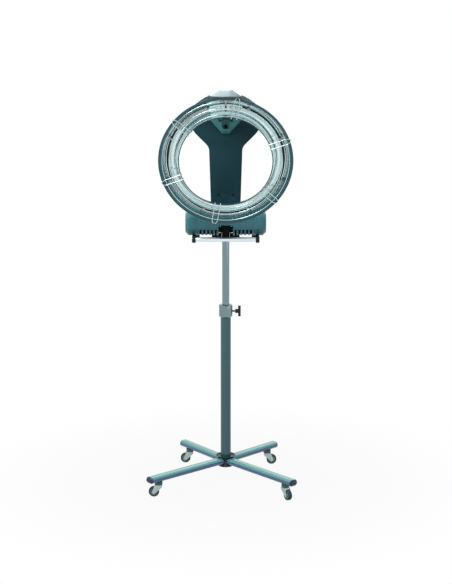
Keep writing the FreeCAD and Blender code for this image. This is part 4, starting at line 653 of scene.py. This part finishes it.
def buildCover():
    # a moulded sector over the element's ends, with low ribs, a cable hole and two screws
    edge, reach = cover["edge"], cover["ribReach"]
    section = [(cover["inner"], cover["front"] + edge), (cover["inner"] + edge, cover["front"]),
               (cover["outer"] - edge, cover["front"]), (cover["outer"], cover["front"] + edge),
               (cover["outer"], cover["back"]), (cover["inner"], cover["back"])]
    shell = turnOnLathe("coverShell", section, 36, cover["span"])
    moveTo(shell, turn=(0, 0, -90 - cover["span"] / 2))
    finishWith(shell, "BEVEL", width=cover["round"], segments=2, limit_method="ANGLE",
               angle_limit=math.radians(40))
    parts = [shell]
    middle = (cover["inner"] + cover["outer"]) / 2
    for index in range(cover["ribs"]):
        angle = (index - (cover["ribs"] - 1) / 2) * cover["span"] / (cover["ribs"] + 0.6)
        if abs(angle) < 1:
            continue
        rib = addBlock("rib", (-cover["ribHalf"], -middle - reach, cover["front"] - cover["ribSink"]),
                       (cover["ribHalf"], -middle + reach, cover["front"] + cover["ribRise"]), 0.0006, 2)
        moveTo(rib, turn=(0, 0, angle))
        parts.append(rib)
    piece = joinPieces("terminalCover", parts)
    smoothIt(piece, 35)
    putOnRing(piece, "cover", "terminal_cover")
    plugs = []
    flat, top = cover["plugFlat"], cover["plugTop"]
    for angle, size in cover["plugs"]:
        outline = [(0.0002, 0), (size, 0), (size, flat), (size * 0.6, top), (0.0002, top)]
        plug = turnOnLathe("plug", outline, 20)
        moveTo(plug, (0, -middle, cover["front"] + cover["plugSink"]), (180, 0, 0))
        moveTo(plug, turn=(0, 0, angle))
        plugs.append(plug)
    putOnRing(joinPieces("coverPlugs", plugs), "black_plastic")
    ends = []
    for side in (-1, 1):
        # white beads where the sheath leaves the cover
        bead = turnOnLathe("bead", [(0.0040, -0.003), (0.0056, -0.0024), (0.0060, 0), (0.0056, 0.0024),
                                    (0.0040, 0.003)], 28)
        moveTo(bead, turn=(0, 90, 0))
        moveTo(bead, (0, -element["radius"], element["depth"]))
        moveTo(bead, turn=(0, 0, side * cover["beadAngle"]))
        ends.append(bead)
    putOnRing(joinPieces("endBeads", ends), "cover")
    print("terminal cover done")


buildTrough()
buildElement()
buildGuard()
buildCover()

# moulded bodies with rounded edges

softened = {
    "spineShell": ("spine_shell", 0.004, "head", "spine_shell"),
    "spinePlate": ("spine_plate", 0.0012, "head", "spine_plate"),
    "archKeel": ("arch_keel", 0.0012, "head", "keel"),
    "chassisCradle": ("chassis_plate", 0.0008, "head", "black_casting"),
    "clampWing": ("clamp_handle", 0.0014, "clamp_knob", "black_plastic"),
    "casterStems": ("caster_stems", 0.0008, "base", "dark_casting"),
    "housingFront": ("housing_front", 0.0008, "head", "housing"),
    "housingRear": ("housing_rear", 0.0008, "head", "housing"),
    "endCapLeft": ("end_cap_left", 0.0006, "head", "housing"),
    "endCapRight": ("end_cap_right", 0.0006, "head", "housing"),
    "handleBrackets": ("handle_brackets", 0.0015, "head", "black_plastic"),
    "mastSocket": ("mast_socket", 0.0012, "socket", "black_casting"),
    "clampCollar": ("clamp_collar", 0.0008, "base", "chrome"),
    "baseHub": ("base_hub", 0.0012, "base", "dark_casting"),
    "legEndCaps": ("leg_end_caps", 0.002, "base", "black_plastic"),
}
ownFinish = {"legEndCaps": "leg_cap", "casterStems": "stem"}
for name, (node, width, body, slot) in softened.items():
    fitOut(softenNode(name, node, width), finishes[ownFinish.get(name, slot)], body, slot, node)
print("softened bodies done:", len(softened))

# handle bar with domed ends, and a bead round the recess in the housing

bar = {"half": 0.129, "radius": 0.0093, "y": -0.085, "z": 0.965}
recess = {"half": 0.029, "top": 1.018, "bend": 0.008, "foot": 0.9765, "bead": 0.0014, "sink": 0.0004,
          "front": -0.070, "frontRound": 0.038, "floor": 0.974}


def frontFace(z):
    # the housing's front at a height
    level = recess["floor"] + recess["frontRound"]
    if z >= level:
        return recess["front"]
    return recess["front"] + recess["frontRound"] - math.sqrt(recess["frontRound"] ** 2 - (level - z) ** 2)


def buildBar():
    radius, half = bar["radius"], bar["half"]
    side = [(radius, 0.0), (radius, half - 0.0022), (radius - 0.0005, half - 0.0009),
            (radius - 0.0015, half - 0.0002), (radius - 0.003, half)]
    outline = [(0.00005, -half)] + [(r, -z) for r, z in side[:0:-1]] + side[1:] + [(0.00005, half)]
    piece = turnOnLathe("handleBar", outline, 56)
    moveTo(piece, (0, bar["y"], bar["z"]), (0, 90, 0))
    # the bar gets the brighter chrome copy, with its bright reflection painted into the colour
    fitOut(piece, finishes["bar_chrome_painted_bright"], "head", "chrome", "handle_bar")
    half, top, bend = recess["half"], recess["top"], recess["bend"]
    side = [(half, recess["foot"] + step * (top - bend - recess["foot"]) / 6) for step in range(7)]
    corner = [(half - bend + bend * math.cos(math.radians(a)), top - bend + bend * math.sin(math.radians(a)))
              for a in range(10, 91, 10)]
    right = side + corner
    points = [(x, frontFace(z) + recess["sink"], z) for x, z in right + [(-x, z) for x, z in right[::-1]]]
    piece = thicken(drawPath("recessBead", points), recess["bead"], 3)
    fitOut(piece, finishes["housing"], "head", "housing")
    print("handle bar and recess bead done")


# screws of the spine: dark in the plate, bright in the keel's well

spineScrews = {"dark": ((0.0275, -0.018, 1.129, 0), (-0.0275, -0.018, 1.129, 0), (0.100, -0.0195, 1.3975, 9),
                        (-0.100, -0.0195, 1.3975, 9)),
               "bright": ((0.018, -0.006, 1.413, 0), (-0.018, -0.006, 1.413, 0)), "darkHead": 0.0052,
               "brightHead": 0.005, "headHeight": 0.0026, "grommet": (0, -0.006, 1.3861)}


def buildScrewHead(name, radius, height):
    # a domed head with a hexagon socket
    outline = [(radius * 0.42, height * 0.45), (radius * 0.5, height), (radius * 0.82, height * 0.86),
               (radius, height * 0.4), (radius, 0), (radius * 0.42, 0)]
    head = turnOnLathe(name, outline, 30)
    deselectAll()
    bpy.ops.mesh.primitive_cylinder_add(vertices=6, radius=radius * 0.44, depth=height * 0.4,
                                        location=(0, 0, height * 0.22))
    return joinPieces(name, [head, bpy.context.object])


def buildSpineScrews():
    for label, key, slot, nodes in (("plateScrews", "dark", "black_plastic", ["spine_screws"]),
                                    ("keelScrews", "bright", "key", [])):
        pattern = buildScrewHead(label + "Head", spineScrews[key + "Head"], spineScrews["headHeight"])
        heads = []
        for x, y, z, lean in spineScrews[key]:
            head = copyPiece(pattern, "head")
            heads.append(moveTo(head, (x, y, z), (90 - lean, 0, 0)))
        bpy.data.objects.remove(pattern)
        piece = joinPieces(label, heads)
        smoothIt(piece, 40)
        fitOut(piece, finishes[slot], "head", slot, *nodes)
    # a blind rubber grommet in the keel's cable hole
    outline = [(0.00005, -0.0018), (0.0057, -0.0018), (0.0057, 0.0), (0.0074, 0.0001), (0.0073, 0.0009),
               (0.0062, 0.0013), (0.0048, 0.0009), (0.0042, -0.0012), (0.00005, -0.0012)]
    grommet = turnOnLathe("keelGrommet", outline, 36)
    moveTo(grommet, spineScrews["grommet"], (90, 0, 0))
    fitOut(grommet, finishes["black_plastic"], "head", "black_plastic")
    print("spine screws done")


# clamp: threaded screw between collar and wing

thread = {"start": 0.0200, "end": 0.0410, "level": 0.672, "radius": 0.0039, "pitch": 0.0015, "depth": 0.0006}


def buildThread():
    pitch, radius = thread["pitch"], thread["radius"]
    profile = [(radius - thread["depth"], 0, 0), (radius, 0, pitch / 2), (radius - thread["depth"], 0, pitch)]
    piece = drawPath("clampThread", profile)
    turns = int((thread["end"] - thread["start"]) / pitch) - 1
    finishWith(piece, "SCREW", angle=math.tau, screw_offset=pitch, iterations=turns, steps=24,
               render_steps=24, axis="Z", use_merge_vertices=True, merge_threshold=1e-5)
    closeUp(piece, merge=1e-5)
    smoothIt(piece, 25)
    moveTo(piece, (thread["start"], 0, thread["level"]), (0, 90, 0))
    fitOut(piece, finishes["chrome"], "clamp_knob", "chrome", "clamp_screw")
    print("clamp thread done")


# controls on the rear face: keys, rocker with its marks, raised key marks, cable gland

controls = {"keys": (-0.060, -0.036, -0.012), "keyLevel": 1.015, "keyRadius": 0.0065, "keySeat": 0.0468,
            "keyFace": 0.052, "stemRadius": 0.0028, "stemEnd": 0.0289,
            "rocker": (0.055, 0.044, 1.022), "rockerHalf": 0.0067, "rockerTall": 0.009,
            "gland": (0.093, 0.045, 1.017), "markLevel": 1.0265, "fasciaFace": 0.048}


def buildKeys():
    radius, seat, face = controls["keyRadius"], controls["keySeat"], controls["keyFace"]
    stem, end = controls["stemRadius"], controls["stemEnd"]
    outline = [(0.00005, end), (stem, end), (stem, seat), (radius, seat), (radius, face - 0.0012),
               (radius - 0.0004, face - 0.0005), (radius - 0.0012, face - 0.0001), (radius - 0.0022, face),
               (0.0032, face - 0.0004), (0.00005, face - 0.0006)]
    pattern = turnOnLathe("keyPattern", outline, 40)
    for number, x in enumerate(controls["keys"], 1):
        piece = moveTo(copyPiece(pattern, f"pushKey{number}"), (x, 0, controls["keyLevel"]), (-90, 0, 0))
        smoothIt(piece, 35)
        fitOut(piece, finishes["key"], f"key_{number}_body", "key", f"key_{number}")
    bpy.data.objects.remove(pattern)


def buildRocker():
    x, y, z = controls["rocker"]
    half, tall = controls["rockerHalf"], controls["rockerTall"]
    outline = [(0, -0.004, -tall + 0.001), (0, 0.0055, -tall), (0, 0.0048, -tall * 0.55), (0, 0.0042, 0),
               (0, 0.0048, tall * 0.55), (0, 0.0055, tall), (0, -0.004, tall - 0.001),
               (0, -0.004, -tall + 0.001)]
    piece = drawPath("rockerSwitch", outline)
    editAll(piece)
    bpy.ops.mesh.remove_doubles(threshold=1e-6)
    bpy.ops.mesh.extrude_region_move(TRANSFORM_OT_translate={"value": (half * 2, 0, 0)})
    closeUp(piece)
    finishWith(piece, "BEVEL", width=0.0007, segments=2, limit_method="ANGLE", angle_limit=math.radians(30))
    moveTo(piece, (x - half, y, z))
    smoothIt(piece, 35)
    fitOut(piece, finishes["black_plastic"], "rocker", "black_plastic", "rocker_switch")
    # raised marks: a stroke over a ring
    stroke = addBlock("stroke", (x - 0.0004, y + 0.0044, z + 0.0032), (x + 0.0004, y + 0.0054, z + 0.0066))
    ring = turnOnLathe("loop", [(0.0014, -0.0004), (0.0021, -0.0004), (0.0021, 0.0004), (0.0014, 0.0004)], 24)
    moveTo(ring, (x, y + 0.0049, z - 0.0048), (-90, 0, 0))
    marks = joinPieces("rockerMarks", [stroke, ring])
    fitOut(marks, finishes["key"], "rocker", "key")


def buildMarks():
    # raised signs over the keys: a minus, a plus and a ring with a stroke
    level, face = controls["markLevel"], controls["fasciaFace"]
    left, middle, right = controls["keys"]
    strokes = [(left, 0, 0.003, 0.0005), (middle, 0, 0.003, 0.0005), (middle, 0, 0.0005, 0.003),
               (right, 0.0012, 0.0005, 0.0018)]
    low, high = face - 0.0004, face + 0.0002
    pieces = [addBlock("sign", (x - wide, low, level + up - tall), (x + wide, high, level + up + tall))
              for x, up, wide, tall in strokes]
    ring = turnOnLathe("loop", [(0.0020, -0.0003), (0.0028, -0.0003), (0.0028, 0.0003), (0.0020, 0.0003)], 28)
    pieces.append(moveTo(ring, (right, face - 0.0001, level), (-90, 0, 0)))
    marks = joinPieces("keyMarks", pieces)
    fitOut(marks, finishes["key"], "head", "key")


def buildGland():
    # flange, hexagon nut, dome nut with a round mouth
    x, y, z = controls["gland"]
    outline = [(0.004, -0.011), (0.0077, -0.011), (0.0077, 0), (0.0099, 0.0001), (0.0099, 0.0018),
               (0.0078, 0.0022), (0.0078, 0.0088), (0.0070, 0.0115), (0.0056, 0.0136), (0.0044, 0.0139),
               (0.0040, 0.0134)]
    body = turnOnLathe("glandBody", outline, 44)
    outline = [(0.0070, 0.0021), (0.0096, 0.0021), (0.0096, 0.0070), (0.0070, 0.0070)]
    nut = turnOnLathe("glandNut", outline, 6, smooth=10)
    finishWith(nut, "BEVEL", width=0.0005, segments=2, limit_method="ANGLE", angle_limit=math.radians(30))
    piece = joinPieces("cableGland", [body, nut])
    smoothIt(piece, 35)
    moveTo(piece, (x, y, z), (-90, 0, 0))
    fitOut(piece, finishes["black_plastic"], "head", "black_plastic", "cable_gland")


# casters: ribbed core and rounded tyre, one pattern for all four

caster = {"radius": 0.020, "half": 0.008, "core": 0.0145, "bore": 0.00305, "hubHalf": 0.0086,
          "heading": {"front_left": 180, "front_right": -60, "rear_left": 180, "rear_right": 0}}


def buildWheels():
    radius, half, core = caster["radius"], caster["half"], caster["core"]
    tread = [(core, 0), (core, half - 0.0006), (core + 0.0006, half), (radius - 0.0024, half),
             (radius - 0.0008, half - 0.0014), (radius - 0.0001, half - 0.0034), (radius, 0)]
    outline = tread + [(r, -z) for r, z in tread[:0:-1]]
    tyre = turnOnLathe("tyrePattern", outline[1:], 64)
    bore, hub = caster["bore"], caster["hubHalf"]
    side = [(bore, 0), (bore, hub), (0.0058, hub), (0.0066, hub - 0.0008), (0.0068, 0.0048), (0.0118, 0.0044),
            (0.0128, 0.0068), (core - 0.0001, 0.0068)]
    body = turnOnLathe("coreBody", side[1:] + [(r, -z) for r, z in side[:0:-1]], 48)
    ribs = [body]
    for index in range(6):
        rib = addBlock("rib", (0.0064, -0.0007, -0.0058), (0.0130, 0.0007, 0.0058), 0.0002, 1)
        ribs.append(moveTo(rib, turn=(0, 0, index * 60)))
    core = joinPieces("corePattern", ribs)
    for name, heading in caster["heading"].items():
        low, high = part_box(f"caster_tyre_{name}")
        place = [(a + b) / 2 for a, b in zip(low, high)]
        label = "".join(word.capitalize() for word in name.split("_"))
        for pattern, kind, slot, node in ((tyre, "tyre", "tyre", f"caster_tyre_{name}"),
                                          (core, "core", "pale_plastic", f"caster_core_{name}")):
            piece = copyPiece(pattern, kind + label)
            moveTo(piece, place, (90, 0, heading))
            smoothIt(piece, 35)
            fitOut(piece, finishes[slot], f"wheel_{name}", slot, node)
        fork = softenNode("fork" + label, f"caster_fork_{name}", 0.0006, 2)
        fitOut(fork, finishes["fork_steel"], f"fork_{name}", "fork_steel", f"caster_fork_{name}")
    bpy.data.objects.remove(tyre)
    bpy.data.objects.remove(core)
    print("casters done")


buildBar()
buildSpineScrews()
buildThread()
buildKeys()
buildRocker()
buildMarks()
buildGland()
print("controls done")
buildWheels()

# studio: camera, lamps, floor

camera = {"place": (0.001, -5.6, 1.818), "pitch": 10.83, "yaw": 0, "lens": 90.847}
studio = {"target": (0, -0.1, 0.9), "air": (0.86, 0.95, 1.0, 1), "airStrength": 0.32,
          "floor": tint(124, 128, 128), "floorSize": 24, "shadowFrom": 0.35, "shadowTo": 1.1,
          "shadowWhite": 0.94}
# place, power, size and colour of each lamp
lamps = {"key": ((-1.7, -1.8, 3.9), 112, 2.0, (1, 1, 1)),
         "fill": ((3.0, -2.6, 1.4), 14, 2.4, (0.78, 0.9, 1)),
         "rim": ((0.8, 3.2, 2.8), 18, 2.0, (1, 1, 1))}


def buildStudio():
    deselectAll()
    bpy.ops.object.camera_add(location=camera["place"],
                              rotation=(math.radians(90 - camera["pitch"]), 0, math.radians(camera["yaw"])))
    view = bpy.context.object
    view.data.lens = camera["lens"]
    view.data.sensor_width = 36
    view.data.clip_end = 60
    bpy.context.scene.camera = view
    for name, (place, power, size, shade) in lamps.items():
        bpy.ops.object.light_add(type="AREA", location=place)
        lamp = bpy.context.object
        lamp.name = name
        lamp.data.energy = power
        lamp.data.size = size
        lamp.data.color = shade
        lamp.rotation_euler = (Vector(studio["target"]) - Vector(place)).to_track_quat("-Z", "Y").to_euler()
    world = bpy.data.worlds.new("studio")
    bpy.context.scene.world = world
    world.use_nodes = True
    nodes, links = world.node_tree.nodes, world.node_tree.links
    soft = nodes["Background"]
    soft.inputs["Color"].default_value = studio["air"]
    soft.inputs["Strength"].default_value = studio["airStrength"]
    bright = nodes.new("ShaderNodeBackground")
    bright.inputs["Color"].default_value = (1, 1, 1, 1)
    bright.inputs["Strength"].default_value = 1.0
    seen = seenRays(nodes, links)
    either = nodes.new("ShaderNodeMixShader")
    links.new(seen, either.inputs[0])
    links.new(soft.outputs[0], either.inputs[1])
    links.new(bright.outputs[0], either.inputs[2])
    links.new(either.outputs[0], nodes["World Output"].inputs["Surface"])
    bpy.ops.mesh.primitive_plane_add(size=studio["floorSize"], location=(0, 0, 0))
    floor = nameNew("studioFloor")
    floor.data.materials.append(floorFinish())


def seenRays(nodes, links):
    # camera, glossy and transmission rays see the bright background
    path = nodes.new("ShaderNodeLightPath")
    first = operate(nodes, "ShaderNodeMath", "MAXIMUM")
    second = operate(nodes, "ShaderNodeMath", "MAXIMUM")
    links.new(path.outputs["Is Camera Ray"], first.inputs[0])
    links.new(path.outputs["Is Glossy Ray"], first.inputs[1])
    links.new(first.outputs[0], second.inputs[0])
    links.new(path.outputs["Is Transmission Ray"], second.inputs[1])
    return second.outputs[0]


def floorFinish():
    # white to the camera far off, with a soft shadow left near the casters
    material = bpy.data.materials.new("floorWhite")
    material.use_nodes = True
    nodes, links = material.node_tree.nodes, material.node_tree.links
    matte = nodes["Principled BSDF"]
    matte.inputs["Base Color"].default_value = studio["floor"]
    matte.inputs["Roughness"].default_value = 0.9
    glow = nodes.new("ShaderNodeEmission")
    glow.inputs["Color"].default_value = (1, 1, 1, 1)
    glow.inputs["Strength"].default_value = 1.0
    coordinates = nodes.new("ShaderNodeTexCoord")
    distance = operate(nodes, "ShaderNodeVectorMath", "LENGTH")
    fade = addRange(nodes, studio["shadowFrom"], studio["shadowTo"], studio["shadowWhite"], 1.0)
    share = operate(nodes, "ShaderNodeMath", "MULTIPLY")
    either = nodes.new("ShaderNodeMixShader")
    links.new(coordinates.outputs["Object"], distance.inputs[0])
    links.new(distance.outputs["Value"], fade.inputs["Value"])
    links.new(fade.outputs["Result"], share.inputs[0])
    links.new(seenRays(nodes, links), share.inputs[1])
    links.new(share.outputs[0], either.inputs[0])
    links.new(matte.outputs[0], either.inputs[1])
    links.new(glow.outputs[0], either.inputs[2])
    links.new(either.outputs[0], nodes["Material Output"].inputs["Surface"])
    return material


buildStudio()
bpy.context.scene.view_settings.view_transform = "Standard"
print("studio done")

deselectAll()
